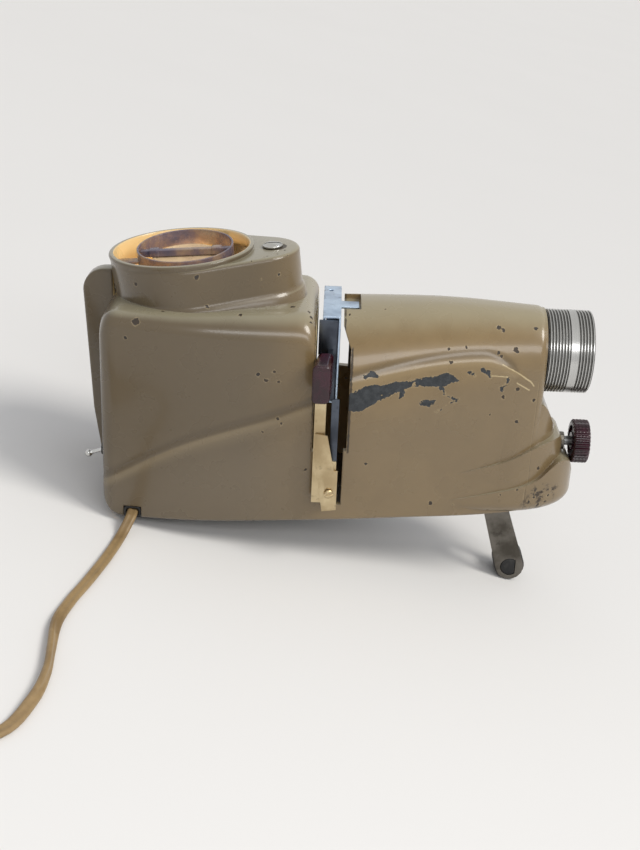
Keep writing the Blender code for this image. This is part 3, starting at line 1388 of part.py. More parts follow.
def build_switch():
    """The toggle switch on the rear wall, its nut and lever."""
    half = SWITCH_SIZE / 2
    inner_wall = REAR_X + WALL + GAP
    centre = (0, SWITCH_Y, SWITCH_Z)
    mouth = REAR_X - SWITCH_NECK
    body = box((inner_wall, SWITCH_Y - half, SWITCH_Z - half),
               (inner_wall + SWITCH_DEPTH, SWITCH_Y + half, SWITCH_Z + half), "switch_body", rubber())
    join(body, rod(mouth, inner_wall + WALL, SWITCH_NECK_RADIUS, centre, along_x, "neck", None))
    cut(body, rod(mouth - OVERRUN, inner_wall, SWITCH_MOUTH_RADIUS, centre, along_x, "mouth", None))
    nut = prism(circle(SWITCH_Y, SWITCH_Z, SWITCH_NUT, 6), REAR_X - GAP - SWITCH_NUT_THICK, REAR_X - GAP,
                facing, "switch_nut", chrome())
    cut(nut, rod(mouth - OVERRUN, inner_wall, SWITCH_NECK_RADIUS + GAP, centre, along_x, "hole", None))
    pivot = (REAR_X - LEVER_PIVOT_IN, SWITCH_Y, SWITCH_Z)
    ball = LEVER_BALL
    profile = [(-LEVER_LENGTH - ball, 0)]
    profile += [(-LEVER_LENGTH - ball * math.cos(math.radians(a)), ball * math.sin(math.radians(a)))
                for a in (35, 70, 110, 140)]
    profile += [(-LEVER_LENGTH * 0.75, LEVER_NECK), (-LEVER_PIN, LEVER_NECK), (LEVER_PIN * 2, LEVER_NECK),
                (LEVER_PIN * 2, 0)]
    lever = turned(profile, (0, 0, 0), along_x, "switch_lever", chrome(), 12)
    reach = SWITCH_MOUTH_RADIUS - GAP
    join(lever, rod(-reach, reach, LEVER_PIN, (0, 0, 0), along_y, "pin", None, 10))
    lever.data.transform(Matrix.Rotation(LEVER_REST, 4, "Y"))
    lever.location = pivot


def build_knob():
    """The knurled knob, its screw, the bush in the nose and the travelling nut."""
    axis = (0, 0, LIFT_Z)
    end = KNOB_REAR_X + KNOB_WIDTH
    turn = 2 * math.pi / KNOB_TEETH
    rings = []
    for x, inset in ((KNOB_REAR_X, KNOB_TOOTH), (KNOB_REAR_X + KNOB_TOOTH, 0), (end - KNOB_TOOTH, 0), (end, KNOB_TOOTH)):
        ring = []
        for i in range(KNOB_TEETH):
            for share, depth in ((0, 0), (0.5, 0), (0.65, KNOB_TOOTH), (0.85, KNOB_TOOTH)):
                angle = (i + share) * turn
                radius = KNOB_RADIUS - max(depth, inset)
                ring.append(Vector((x, radius * math.cos(angle), LIFT_Z + radius * math.sin(angle))))
        rings.append(ring)
    knob = loft(rings, "elevation_knob", maroon())
    cut(
        knob,
        tube(end - KNOB_HOLLOW, end + OVERRUN, KNOB_RADIUS - KNOB_RIM, KNOB_HUB, axis, along_x, "hollow", None, 24),
        rod(KNOB_REAR_X - OVERRUN, end + OVERRUN, SHAFT_RADIUS + GAP, axis, along_x, "bore", None),
    )
    set_origin(knob, (KNOB_REAR_X, 0, LIFT_Z))
    collar_front = BUSH_REAR_X - GAP
    profile = [
        (SHAFT_REAR_X, 0),
        (SHAFT_REAR_X, SHAFT_RADIUS),
        (collar_front - COLLAR_WIDTH, SHAFT_RADIUS),
        (collar_front - COLLAR_WIDTH, COLLAR_RADIUS),
        (collar_front, COLLAR_RADIUS),
        (collar_front, SHAFT_RADIUS),
        (end - SHAFT_FRONT_IN, SHAFT_RADIUS),
        (end - SHAFT_FRONT_IN, 0),
    ]
    screw = turned(profile, axis, along_x, "elevation_screw", steel(), SMALL_STEPS)
    set_origin(screw, (KNOB_REAR_X, 0, LIFT_Z))
    tube(BUSH_REAR_X, BUSH_FRONT_X, BUSH_RADIUS, SHAFT_RADIUS + RUNNING_GAP, axis, along_x, "screw_bush",
         brass(), SMALL_STEPS)
    x = nut_rest_x()
    nut = box((x - NUT_LENGTH / 2, -NUT_HALF, LIFT_Z - NUT_HALF), (x + NUT_LENGTH / 2, NUT_HALF, LIFT_Z + NUT_HALF),
              "trunnion_nut", brass())
    pin_end = LEG_HALF
    for side in (-1, 1):
        low, high = sorted((side * (NUT_HALF - GAP), side * pin_end))
        join(nut, rod(low, high, TRUNNION_RADIUS, (x, 0, LIFT_Z), along_y, "trunnion", None))
    cut(nut, rod(x - NUT_LENGTH, x + NUT_LENGTH, SHAFT_RADIUS + RUNNING_GAP, axis, along_x, "bore", None))
    set_origin(nut, (x, 0, LIFT_Z))


def arm_lean():
    """How far the leg's arm leans back with the leg out, from upright."""
    return LEG_SWING / 2


def nut_rest_x():
    return PIVOT_X - (LIFT_Z - PIVOT_Z) * math.tan(arm_lean())


def capsule(start, end, start_radius, end_radius):
    """Outline of a tapering bar with round ends."""
    along = math.degrees(math.atan2(end[1] - start[1], end[0] - start[0]))
    taper = math.degrees(math.asin((start_radius - end_radius) / math.dist(start, end)))
    far = arc(end[0], end[1], end_radius, along - 90 + taper, along + 90 - taper, 8)
    near = arc(start[0], start[1], start_radius, along + 90 - taper, along + 270 + taper, 8)
    return far + near


def rubber_outline(grow):
    """The D-shaped boss that keeps the rubber foot from turning."""
    radius = RUBBER_BOSS_RADIUS + grow
    flat_angle = math.degrees(math.acos((RUBBER_BOSS_CUT + grow) / radius))
    return arc(LEG_END_X, LEG_END_Z, radius, flat_angle, 360 - flat_angle, 12)


def build_leg():
    """The folding leg: two side plates and a web, on its pivot pin, with a rubber foot."""
    pivot = (PIVOT_X, PIVOT_Z)
    end = (LEG_END_X, LEG_END_Z)
    reach = (LIFT_Z - PIVOT_Z) / math.cos(arm_lean())
    up = (-math.sin(arm_lean()), math.cos(arm_lean()))
    top = (PIVOT_X + reach * up[0], PIVOT_Z + reach * up[1])
    low_reach = LIFT_Z - PIVOT_Z
    low = (PIVOT_X + low_reach * up[0], PIVOT_Z + low_reach * up[1])
    leg = None
    for side in (-1, 1):
        inner, outer = sorted((side * (LEG_HALF - LEG_SHEET), side * LEG_HALF))
        plate = prism(capsule(pivot, end, LEG_ARM_RADIUS, LEG_END_RADIUS), inner, outer, upright, "leg", steel())
        arm = capsule(pivot, top, LEG_ARM_RADIUS, LEG_ARM_RADIUS - GAP)
        join(plate, prism(arm, inner, outer, upright, "arm", None))
        room = TRUNNION_RADIUS + TRUNNION_PLAY
        cut(
            plate,
            prism(capsule(low, top, room, room), inner - OVERRUN, outer + OVERRUN, upright, "slot", None),
            rod(inner - OVERRUN, outer + OVERRUN, PIVOT_RADIUS + GAP, (PIVOT_X, 0, PIVOT_Z), along_y, "hole", None),
            prism(rubber_outline(GAP), inner - OVERRUN, outer + OVERRUN, upright, "boss_hole", None),
        )
        leg = plate if leg is None else (leg, plate)
    first, second = leg
    run = Vector((end[0] - pivot[0], 0, end[1] - pivot[1])).normalized()
    back = Vector((run.z, 0, -run.x))
    middle = Vector((PIVOT_X, 0, PIVOT_Z))
    rings = []
    for y in (-LEG_HALF + LEG_SHEET / 2, LEG_HALF - LEG_SHEET / 2):
        ring = []
        for along, out in ((LEG_WEB_START, LEG_WEB_BACK), (LEG_WEB_END, LEG_WEB_BACK),
                           (LEG_WEB_END, LEG_WEB_BACK - LEG_SHEET), (LEG_WEB_START, LEG_WEB_BACK - LEG_SHEET)):
            point = middle + run * along + back * out
            ring.append(Vector((point.x, y, point.z)))
        rings.append(ring)
    join(first, loft(rings, "web", None), second)
    first.name = "leg"
    set_origin(first, (PIVOT_X, 0, PIVOT_Z))
    pin_end = LEG_HALF + LEG_SLOT_SIDE + EAR_SHEET + 2 * GAP
    rod(-pin_end, pin_end, PIVOT_RADIUS, (PIVOT_X, 0, PIVOT_Z), along_y, "leg_pivot_pin", steel())
    width = LEG_HALF - LEG_SHEET - GAP
    foot = rod(-width, width, RUBBER_RADIUS, (LEG_END_X, 0, LEG_END_Z), along_y, "leg_foot", rubber(), 24)
    join(foot, prism(rubber_outline(0), -LEG_HALF, LEG_HALF, upright, "boss", None))


def stance_angle():
    """How far the nose is raised: rear feet and front foot stand on one floor."""
    heel_x = FOOT_X - FOOT_RADIUS + FOOT_EDGE
    heel_z = BASE_FOOT_Z - GAP - FOOT_HEIGHT
    ahead = LEG_END_X - heel_x
    above = LEG_END_Z - heel_z
    return math.asin(RUBBER_RADIUS / math.hypot(ahead, above)) - math.atan2(above, ahead)


def stand_up():
    """Tilt everything nose up, and put the middle of its underside at the origin."""
    stance = bpy.data.objects.new("stance", None)
    bpy.context.scene.collection.objects.link(stance)
    for obj in list(bpy.data.objects):
        if obj is not stance:
            obj.parent = stance
    stance.rotation_euler = (0, -stance_angle(), 0)
    bpy.context.view_layer.update()
    points = [obj.matrix_world @ v.co for obj in bpy.data.objects if obj.type == "MESH" for v in obj.data.vertices]
    lows = [min(p[i] for p in points) for i in range(3)]
    highs = [max(p[i] for p in points) for i in range(3)]
    stance.location = (-(lows[0] + highs[0]) / 2, -(lows[1] + highs[1]) / 2, -lows[2])
    bpy.context.view_layer.update()
    return stance.matrix_world.copy()


def smooth_route(knots, step):
    """Points about a step apart on a smooth curve through the knots."""
    fine = 24
    padded = [2 * knots[0] - knots[1]] + knots + [2 * knots[-1] - knots[-2]]
    dense = []
    for a, b, c, d in zip(padded, padded[1:], padded[2:], padded[3:]):
        for i in range(fine):
            t = i / fine
            dense.append((2 * b + (c - a) * t + (2 * a - 5 * b + 4 * c - d) * t**2
                          + (3 * b - a - 3 * c + d) * t**3) / 2)
    dense.append(knots[-1])
    runs = [0]
    for a, b in zip(dense, dense[1:]):
        runs.append(runs[-1] + (b - a).length)
    count = max(2, round(runs[-1] / step))
    points = []
    spot = 0
    for i in range(count + 1):
        want = runs[-1] * i / count
        while spot < len(dense) - 2 and runs[spot + 1] < want:
            spot += 1
        share = (want - runs[spot]) / (runs[spot + 1] - runs[spot])
        points.append(dense[spot].lerp(dense[spot + 1], min(1, share)))
    return points


def rope(points, resolution, name):
    """A round cord through the points, closed at both ends."""
    curve = bpy.data.curves.new(name, "CURVE")
    curve.dimensions = "3D"
    curve.bevel_depth = CORD_RADIUS
    curve.bevel_resolution = resolution
    curve.use_fill_caps = True
    spline = curve.splines.new("POLY")
    spline.points.add(len(points) - 1)
    for spot, point in zip(spline.points, points):
        spot.co = (*point, 1)
    curve.materials.append(cord_cover())
    obj = bpy.data.objects.new(name, curve)
    bpy.context.scene.collection.objects.link(obj)
    return obj


def cord_knots(world):
    """The cord's route: out of its grommet, down, and over the floor to the coil."""
    middle = OUTLET_HEIGHT / 2
    wall_y = foot_half_width(OUTLET_X)
    inside = [world @ Vector((OUTLET_X, y, middle)) for y in (CORD_INNER_Y, -wall_y, -wall_y - CORD_STRAIGHT)]
    floor = CORD_RADIUS + FLOOR_GAP
    lying = [Vector((x, y, floor)) for x, y in CORD_ROUTE]
    return inside + lying


def coil_points(start, heading):
    """A coil of two layers: inwards on the floor, up, and outwards again on top."""
    side = Vector((-heading.y, heading.x, 0)) * COIL_HAND
    centre = start + side * COIL_RADIUS
    first = math.atan2(start.y - centre.y, start.x - centre.x)
    per_loop = 24
    half = round(COIL_LOOPS * per_loop)
    climb = per_loop // 2
    inner = COIL_RADIUS - COIL_PITCH * COIL_LOOPS
    points = [start - heading * 2 * CORD_RADIUS]
    for i in range(2 * half + climb + 1):
        if i <= half:
            radius, rise = COIL_RADIUS - COIL_PITCH * i / per_loop, 0
        elif i <= half + climb:
            share = (i - half) / climb
            radius, rise = inner, COIL_RISE * share * share * (3 - 2 * share)
        else:
            share = max(0, (i - 2 * half) / climb)
            radius = inner + COIL_PITCH * (i - half - climb) / per_loop + COIL_EXIT * share * share
            rise = COIL_RISE
        angle = first + COIL_HAND * 2 * math.pi * i / per_loop
        points.append(centre + Vector((radius * math.cos(angle), radius * math.sin(angle), rise)))
    leaving = (points[-1] - points[-2]).normalized()
    points.append(points[-1] + leaving * 2 * CORD_RADIUS)
    return points


def least_gap(points):
    """Least room between stretches of the coil that aren't neighbours."""
    least = COIL_RADIUS
    for i, a in enumerate(points):
        for j in range(i + 8, len(points) - 1):
            b, c = points[j], points[j + 1]
            share = max(0, min(1, (a - b).dot(c - b) / (c - b).length_squared))
            least = min(least, (a - b.lerp(c, share)).length)
    return least - 2 * CORD_RADIUS


def build_cord(world):
    route = smooth_route(cord_knots(world), CORD_STEP)
    rope(route, 2, "cord")
    heading = (route[-1] - route[-2]).normalized()
    start = route[-1] + heading * (GAP + 2 * CORD_RADIUS)
    points = coil_points(start, heading)
    rope(points, 1, "cord_coil")
    print("coil gap", least_gap(points))
    build_plug(points[-1], (points[-1] - points[-2]).normalized())


def build_plug(end, heading):
    """The plug at the cord's far end, lying on the floor, with its two flat pins."""
    frame = Matrix.Translation(end) @ Matrix.Rotation(math.atan2(heading.y, heading.x), 4, "Z")
    half_high = end.z - FLOOR_GAP
    half_wide = PLUG_WIDTH / 2
    rings = []
    for x, share in ((GAP, 0.45), (PLUG_LENGTH * 0.3, 0.8), (PLUG_LENGTH * 0.5, 1), (PLUG_LENGTH, 1)):
        wide, high = half_wide * share, half_high * share
        outline = rounded(-wide, wide, -high, high, PLUG_CORNER * share, 3)
        rings.append([Vector((x, u, v)) for u, v in outline])
    plug = loft(rings, "plug", rubber())
    plug.data.transform(frame)
    for name, side in (("plug_pin_left", 1), ("plug_pin_right", -1)):
        y = side * PIN_SPACING / 2
        pin = box((PLUG_LENGTH + GAP, y - PIN_THICK / 2, -PIN_WIDTH / 2),
                  (PLUG_LENGTH + GAP + PIN_LENGTH, y + PIN_THICK / 2, PIN_WIDTH / 2), name, brass())
        pin.data.transform(frame)


clear_scene()
build_casting()
build_base()
build_feet()
build_grommet()
build_baffle()
build_ear_screw()
build_lamp()
build_reflector()
build_condensers()
build_gate()
build_carrier()
build_strap()
build_lens()
build_switch()
build_knob()
build_leg()
for solid in bpy.data.objects:
    merge_flats(solid)
build_cord(stand_up())
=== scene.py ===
from contextlib import contextmanager
import functools
import itertools
import json
import math

import bmesh
import bpy
from mathutils import Matrix, Vector
from mathutils.bvhtree import BVHTree


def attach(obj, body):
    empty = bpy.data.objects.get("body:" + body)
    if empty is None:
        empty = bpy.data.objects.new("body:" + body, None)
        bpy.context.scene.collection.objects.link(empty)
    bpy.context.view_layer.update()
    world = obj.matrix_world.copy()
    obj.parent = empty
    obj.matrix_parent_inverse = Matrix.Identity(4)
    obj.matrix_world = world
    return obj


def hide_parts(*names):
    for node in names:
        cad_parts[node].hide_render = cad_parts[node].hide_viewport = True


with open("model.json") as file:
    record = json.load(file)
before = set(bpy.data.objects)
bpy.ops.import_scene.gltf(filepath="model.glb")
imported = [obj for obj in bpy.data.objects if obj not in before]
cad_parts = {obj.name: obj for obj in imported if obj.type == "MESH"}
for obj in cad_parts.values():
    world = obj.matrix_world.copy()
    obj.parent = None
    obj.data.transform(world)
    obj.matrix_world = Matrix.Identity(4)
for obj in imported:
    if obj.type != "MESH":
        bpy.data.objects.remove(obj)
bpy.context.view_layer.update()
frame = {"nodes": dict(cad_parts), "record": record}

# Slide projector. Sizes are in metres in the housing's own frame, x along the lens axis and z up
# from the underside; STANCE is where the housing stands on its feet and leg.
STANCE = Matrix((
    (0.9763715, 0, -0.2160989, 0.0100221),
    (0, 1, 0, 0.004304),
    (0.2160989, 0, 0.9763715, 0.0310587),
    (0, 0, 0, 1),
))
TILT = math.radians(-12.48)
GAP = 0.0003
RUNNING_GAP = 0.0004
OVERRUN = 0.004
WELD, RING_WELD, SEAM_WELD, REFINE_WELD = 0.000004, 0.000003, 0.000002, 0.00001
FINE_EDGE, BEVEL_ANGLE = 0.0003, math.radians(28)
EASED_SHARE, NEARLY_STRAIGHT = 0.45, math.radians(165)
RING_STEPS, ROUND_STEPS = 16, 96

# Housing
REAR_X, FACE_X = -0.1370, 0.1325
REAR_HALF = 0.0545
WIDEST_X, WIDEST_HALF = -0.085, 0.0575
GATE_HALF = 0.0500
MID_X, MID_HALF = 0.070, 0.0380
FACE_HALF, FACE_FOOT_HALF = 0.0290, 0.0230
WALL = 0.0035
SHOULDER_TOP = 0.1322
CROWN_REAR_TOP, CROWN_TOP, CROWN_X, CROWN_FRONT_TOP = 0.1300, 0.1320, 0.068, 0.1290
SHOULDER_ROUND, SHOULDER_REAR_ROUND = 0.0175, 0.0090
CROWN_REAR_DROP, CROWN_FRONT_DROP, CROWN_FLAT = 0.050, 0.031, 0.002
FOOT_ROUND = 0.0025
REAR_PLAN_ROUND, REAR_TOP_ROUND, REAR_FOOT_ROUND, FACE_ROUND = 0.008, 0.012, 0.014, 0.005
SHOULDER_END_ROUND = 0.0100
CREASE_OUT, CREASE_SOFT, CREASE_HOLLOW, CREASE_FADE_X = 0.00088, 0.0026, 0.0002, 0.110
CREASE_REACH, CREASE_PUSH = 4, 8
CREASE = ((REAR_X, 0.024), (WIDEST_X, 0.0528), (-0.0087, 0.079), (0.0123, 0.093), (0.093, 0.1068),
          (0.124, 0.092))
BOW_START_X, BOW_REAR_X, BOW_IN, BOW_TOP = 0.108, 0.100, 0.0006, 0.074
BOW_NOSE_X, BOW_FRONT_Z, BOW_HOLLOW_TOP, BOW_WALL = 0.1458, 0.052, 0.0520, 0.0050
NOSE_WALL = 0.0115
UPPER_TIER = ((0.050, 0.0235), (BOW_START_X, 0.037068), (0.1400, 0.0490), (0.1480, 0.0495),
              (0.1520, 0.0400))
UPPER_TIER_OUT = 0.0013
LOWER_TIER = ((0.066, 0.0100), (BOW_START_X, 0.017803), (FACE_X, 0.0245), (0.1500, 0.0355),
              (0.1560, 0.0325), (0.1603, 0.0205))
LOWER_TIER_OUT = 0.0028
NOSE_FOOT_Z, NOSE_FOOT_ROUND = 0.0015, 0.0090

# Chimney and rear fin
CHIMNEY_X, RIM_Z, RIM_RADIUS, RIM_WALL = -0.0936, 0.1585, 0.0442, 0.0032
RIM_RISE, RIM_BAND, CHIMNEY_LEAN = 0.0030, 0.0042, math.radians(5.2)
CHIMNEY_FLARE, CHIMNEY_FILLET = 0.0012, 0.0018
CHIMNEY_FOOT_SHIFT, EAR_FOOT_SHIFT = 0.0055, 0.0015
EAR_X, EAR_RADIUS, EAR_PLATE, EAR_ROUND = -0.0480, 0.0262, 0.0050, 0.0024
FIN_HALF, FIN_TOP, FIN_TOP_X, FIN_FOOT_X = 0.0055, 0.1435, -0.1540, -0.1445
FIN_ROUND, FIN_FOOT_Z = 0.014, 0.007
EAR_SCREW_X, EAR_SCREW_RADIUS, EAR_SCREW_HEAD = -0.0380, 0.0062, 0.0026
EAR_SCREW_SHANK, EAR_SCREW_LENGTH, EAR_SCREW_SLOT = 0.0024, 0.0160, 0.0016

# Baffle: hoop, arms, crossbar with its lugs, disc
HOOP_X, HOOP_RISE, HOOP_TIP = -0.0915, 0.0008, math.radians(3.9)
HOOP_RADIUS, HOOP_SHEET, HOOP_HEIGHT = 0.0295, 0.0012, 0.0095
ARM_ANGLES, ARM_HALF, ARM_CLEAR = (60, 180, 300), 0.0040, 0.0007
BAR_HALF, BAR_HEIGHT, BAR_DROP = 0.0020, 0.0040, 0.0022
LUG_FROM_END, LUG_LENGTH, LUG_HALF, LUG_RISE, LUG_FOOT = 0.0085, 0.0060, 0.0028, 0.0006, 0.0002
DISC_RADIUS, DISC_SHEET, DISC_LIP, DISC_SLOPE, DISC_HOLLOW = 0.0205, 0.0012, 0.0016, 0.0006, 0.0004

# Gate slot, notch and optics
SLOT_REAR_X, SLOT_FRONT_X, SLOT_CROWN_X = -0.0087, 0.0123, 0.0074
SLOT_LOW_Z, SLOT_FAR_Z = 0.0480, 0.0680
TAIL_SLOT_REAR_X, TAIL_SLOT_FRONT_X, TAIL_SLOT_Z = -0.0018, 0.0104, 0.0110
NOTCH_LENGTH, NOTCH_NEAR_Y, NOTCH_FAR_Y, NOTCH_DEPTH = 0.0100, -0.0150, 0.0110, 0.0062
GATE_TOP_Z, PLATE, SEAT_DROP = 0.1279, 0.0015, 0.0014
AXIS_Z = 0.1018
LENS_AXIS = (0, 0, AXIS_Z)
SLEEVE_RADIUS, SLEEVE_FRONT_X, BORE_WALL = 0.0244, 0.1318, 0.0024
BARREL_RADIUS, BARREL_ROOT, BARREL_BORE, BARREL_TAIL_RADIUS = 0.0260, 0.0251, 0.0200, 0.0222
BARREL_TAIL_X, BARREL_REAR_X, BARREL_FRONT_X = 0.0960, 0.1330, 0.1610
BAND_START_X, BAND_WIDTH, BORE_BEVEL = 0.1462, 0.0050, 0.0012
RIBS, RIB_STEPS, RIB_HALF, RIB_SLOPE = 15, 14, 0.30, 7
CELL_REAR_X, CELL_FRONT_X, CELL_SEAT = 0.1000, 0.1560, 0.0158
FRONT_GLASS_X, REAR_GLASS_X, REAR_ROOM = 0.1500, 0.1080, 0.0063
GLASS_RADIUS, GLASS_EDGE, GLASS_DOME = 0.0170, 0.0035, 0.0022
HOLDING_RING, HOLDING_RING_LIP = 0.0022, 0.0164

# Lift, handle, switch, lamp, feet and cord outlet
LIFT_Z, SHAFT_RADIUS, BUSH_RADIUS, BUSH_REAR_X, BUSH_FRONT_X = 0.0403, 0.0030, 0.0058, 0.1410, 0.1530
LIFT_AXIS = (0, 0, LIFT_Z)
SHAFT_REAR_X, SHAFT_SHORT, COLLAR_LENGTH, COLLAR_RADIUS = 0.0750, 0.0015, 0.0030, 0.0052
KNOB_RADIUS, KNOB_REAR_X, KNOB_WIDTH = 0.0140, 0.1580, 0.0105
KNURL_DEPTH, KNURL_TEETH, KNURL_EDGE = 0.0010, 30.0, 0.0014
KNURL_STEPS, KNURL_CROSS_PITCH, KNURL_CROSS = (25, 401), 0.0022, 0.12
HOLLOW_DEPTH, HOLLOW_RIM, HOLLOW_BOSS = 0.0032, 0.0034, 0.0052
DISH_DEPTH, DISH_RIM, DISH_BOSS = 0.0014, 0.0038, 0.0056
HANDLE_NEAR_Y, HANDLE_FAR_Y, HANDLE_FOOT, HANDLE_TOP = -0.0670, -0.0452, 0.0860, 0.1100
HANDLE_X, HANDLE_HALF, HANDLE_CORNER, HANDLE_EDGE = (-0.0049, -0.0028), (0.0053, 0.0048), 0.0030, 0.0014
STRIP_LOW, STRIP_HIGH = (0.0020, -0.0572, 0.0440), (0.0066, -0.0560, 0.0856)
SWITCH_Y, SWITCH_Z, SWITCH_NECK_RADIUS = -0.0270, 0.0330, 0.0042
LEVER_LENGTH, LEVER_BALL, LEVER_NECK, LEVER_OUT = 0.0125, 0.0024, 0.0012, 0.0010
LEVER_PIN, LEVER_PIN_HALF, LEVER_REST = 0.0008, 0.0027, math.radians(-20)
LAMP_RADIUS, LAMP_FOOT, LAMP_TOP, CAP_RADIUS, CAP_FOOT = 0.0155, 0.0660, 0.1390, 0.0125, 0.0430
SOCKET_FOOT, SOCKET_TOP, SOCKET_RADIUS, SOCKET_FLANGE, FLANGE_THICK = 0.0330, 0.0600, 0.0165, 0.0210, 0.0030
FOOT_X, FOOT_Y, FOOT_RADIUS, FOOT_TIP_RADIUS = -0.1205, 0.0350, 0.0062, 0.0046
FOOT_LOW, FOOT_BEVEL_Z, FOOT_HIGH = -0.0041, -0.0026, 0.0009
OUTLET_X, OUTLET_HALF, OUTLET_HEIGHT, OUTLET_NOTCH_Y = -0.1180, 0.0055, 0.0080, 0.0460

# Camera and studio
IMAGE_WIDTH, IMAGE_HEIGHT = 640, 850
LENS_MM, SENSOR_MM = 54.13, 36
CAMERA_PLACE = Vector((-0.07495, -0.75059, 0.40095))
CAMERA_RIGHT = Vector((0.966628, 0.01995, 0.255404))
CAMERA_UP = Vector((-0.241238, 0.40641, 0.881269))
CAMERA_BACK = Vector((-0.086217, -0.913473, 0.397661))
KEY_FROM, KEY_STRENGTH, KEY_SPREAD = Vector((0.62, -0.30, 0.95)).normalized(), 1.7, math.radians(24)
PANEL_PLACE, PANEL_AIM, PANEL_WATTS = Vector((0.25, -0.95, 0.75)), Vector((0, 0, 0.08)), 3.0
SKY_TONES, SKY_STRENGTH = ((0.42, 0.42, 0.43), (0.62, 0.63, 0.66)), 0.9
BACKDROP = (0.82, 0.815, 0.80)
FLOOR_TONES, FLOOR_HALF = ((0.78, 0.77, 0.75), (0.80, 0.79, 0.77)), 40.0

# Flat twin cord, its route over the floor and its coil
CORD_WIDTH, CORD_THICK, CORD_WEB, CORD_WEB_ANGLE = 0.0066, 0.0034, 0.0003, 20
CORD_STEP = 0.0050
CORD_INNER_Y, CORD_STRAIGHT = -0.0485, 0.0080
CAD_CORD_RADIUS = 0.0022
CORD_ROUTE = (
    (-0.1086, -0.0700), (-0.1123, -0.0970), (-0.1183, -0.1282), (-0.1236, -0.1519),
    (-0.1264, -0.1750), (-0.1240, -0.2010), (-0.1222, -0.2205), (-0.1240, -0.2430),
    (-0.1330, -0.2700), (-0.1570, -0.2860), (-0.1980, -0.2900),
)
COIL_LOOPS, COIL_RADIUS, COIL_PITCH, COIL_EXIT = 2.875, 0.0430, 0.0079, 0.0180
COIL_RISE, PLUG_RISE = 0.0038, 0.0057
COIL_STEPS = 36
TWIST, TWIST_AT, TWIST_REACH = math.radians(62), 0.172, 0.060

body_of_node = {node: body for body, nodes in frame["record"]["behaviour"]["bodies"].items()
                for node in nodes}


def added(name, data):
    """A new object of the scene."""
    obj = bpy.data.objects.new(name, data)
    bpy.context.scene.collection.objects.link(obj)
    return obj


def camera():
    """The camera, fitted to the photo's outlines."""
    data = bpy.data.cameras.new("camera")
    data.lens, data.sensor_width = LENS_MM, SENSOR_MM
    data.clip_start, data.clip_end = 0.05, 200
    holder = added("camera", data)
    turn = Matrix((CAMERA_RIGHT, CAMERA_UP, CAMERA_BACK)).transposed()
    holder.matrix_world = Matrix.Translation(CAMERA_PLACE) @ turn.to_4x4()
    bpy.context.scene.camera = holder


def view_ray(across, down):
    """Direction from the camera through a point of the 640 x 850 image."""
    reach = LENS_MM / SENSOR_MM * IMAGE_HEIGHT
    return (
        -CAMERA_BACK
        + CAMERA_RIGHT * ((across - IMAGE_WIDTH / 2) / reach)
        - CAMERA_UP * ((down - IMAGE_HEIGHT / 2) / reach)
    ).normalized()


# ---------------------------------------------------------------- shapes


def smoothed(obj, angle=35):
    """Shade it smooth but for its sharp edges."""
    obj.data.shade_smooth()
    obj.data.set_sharp_from_angle(angle=math.radians(angle))
    return obj


def object_of(bm, name):
    """A named object from a bmesh, which is freed."""
    mesh = bpy.data.meshes.new(name)
    bm.to_mesh(mesh)
    bm.free()
    return smoothed(added(name, mesh))


@contextmanager
def edited(mesh):
    """Open a mesh for editing, and write it back."""
    bm = bmesh.new()
    bm.from_mesh(mesh)
    yield bm
    bm.to_mesh(mesh)
    bm.free()


def outward(bm):
    """Turn all normals outward."""
    bmesh.ops.recalc_face_normals(bm, faces=bm.faces)
    return bm


def loft(rings, name):
    """Skin closed rings that have equally many points, and close both ends."""
    bm = bmesh.new()
    loops = [[bm.verts.new(point) for point in ring] for ring in rings]
    for near, far in zip(loops, loops[1:]):
        for i in range(len(near)):
            j = (i + 1) % len(near)
            bm.faces.new((near[i], near[j], far[j], far[i]))
    bm.faces.new(list(reversed(loops[0])))
    bm.faces.new(loops[-1])
    return object_of(outward(bm), name)


def flat(x, y, z):
    """Place of an outline that is drawn in plan."""
    return Vector((x, y, z))


def upright(x, z, y):
    """Place of an outline that is drawn from the side."""
    return Vector((x, y, z))


def prism(outline, low, high, place, name):
    return loft([[place(u, v, t) for u, v in outline] for t in (low, high)], name)


def rectangle(low_u, high_u, low_v, high_v):
    return [(low_u, low_v), (high_u, low_v), (high_u, high_v), (low_u, high_v)]


def box(low, high, name):
    return prism(rectangle(low[0], high[0], low[1], high[1]), low[2], high[2], flat, name)


def spread(start, end, steps):
    """Evenly spaced numbers, both ends included."""
    return [start + (end - start) * i / steps for i in range(steps + 1)]


def arc(centre_u, centre_v, radius, start, end, steps):
    """Points of an arc, both ends included; angles in degrees."""
    turns = [math.radians(angle) for angle in spread(start, end, steps)]
    return [(centre_u + radius * math.cos(a), centre_v + radius * math.sin(a)) for a in turns]


def rounded(low_u, high_u, low_v, high_v, radius, steps):
    """A rectangle with round corners."""
    left, right, low, high = low_u + radius, high_u - radius, low_v + radius, high_v - radius
    corners = ((right, low, -90), (right, high, 0), (left, high, 90), (left, low, 180))
    return [spot for u, v, turn in corners for spot in arc(u, v, radius, turn, turn + 90, steps)]


def along_x(length, radius, angle, centre):
    return Vector((length, centre[1] + radius * math.cos(angle), centre[2] + radius * math.sin(angle)))


def along_y(length, radius, angle, centre):
    return Vector((centre[0] + radius * math.sin(angle), length, centre[2] + radius * math.cos(angle)))


def along_z(length, radius, angle, centre):
    return Vector((centre[0] + radius * math.cos(angle), centre[1] + radius * math.sin(angle), length))


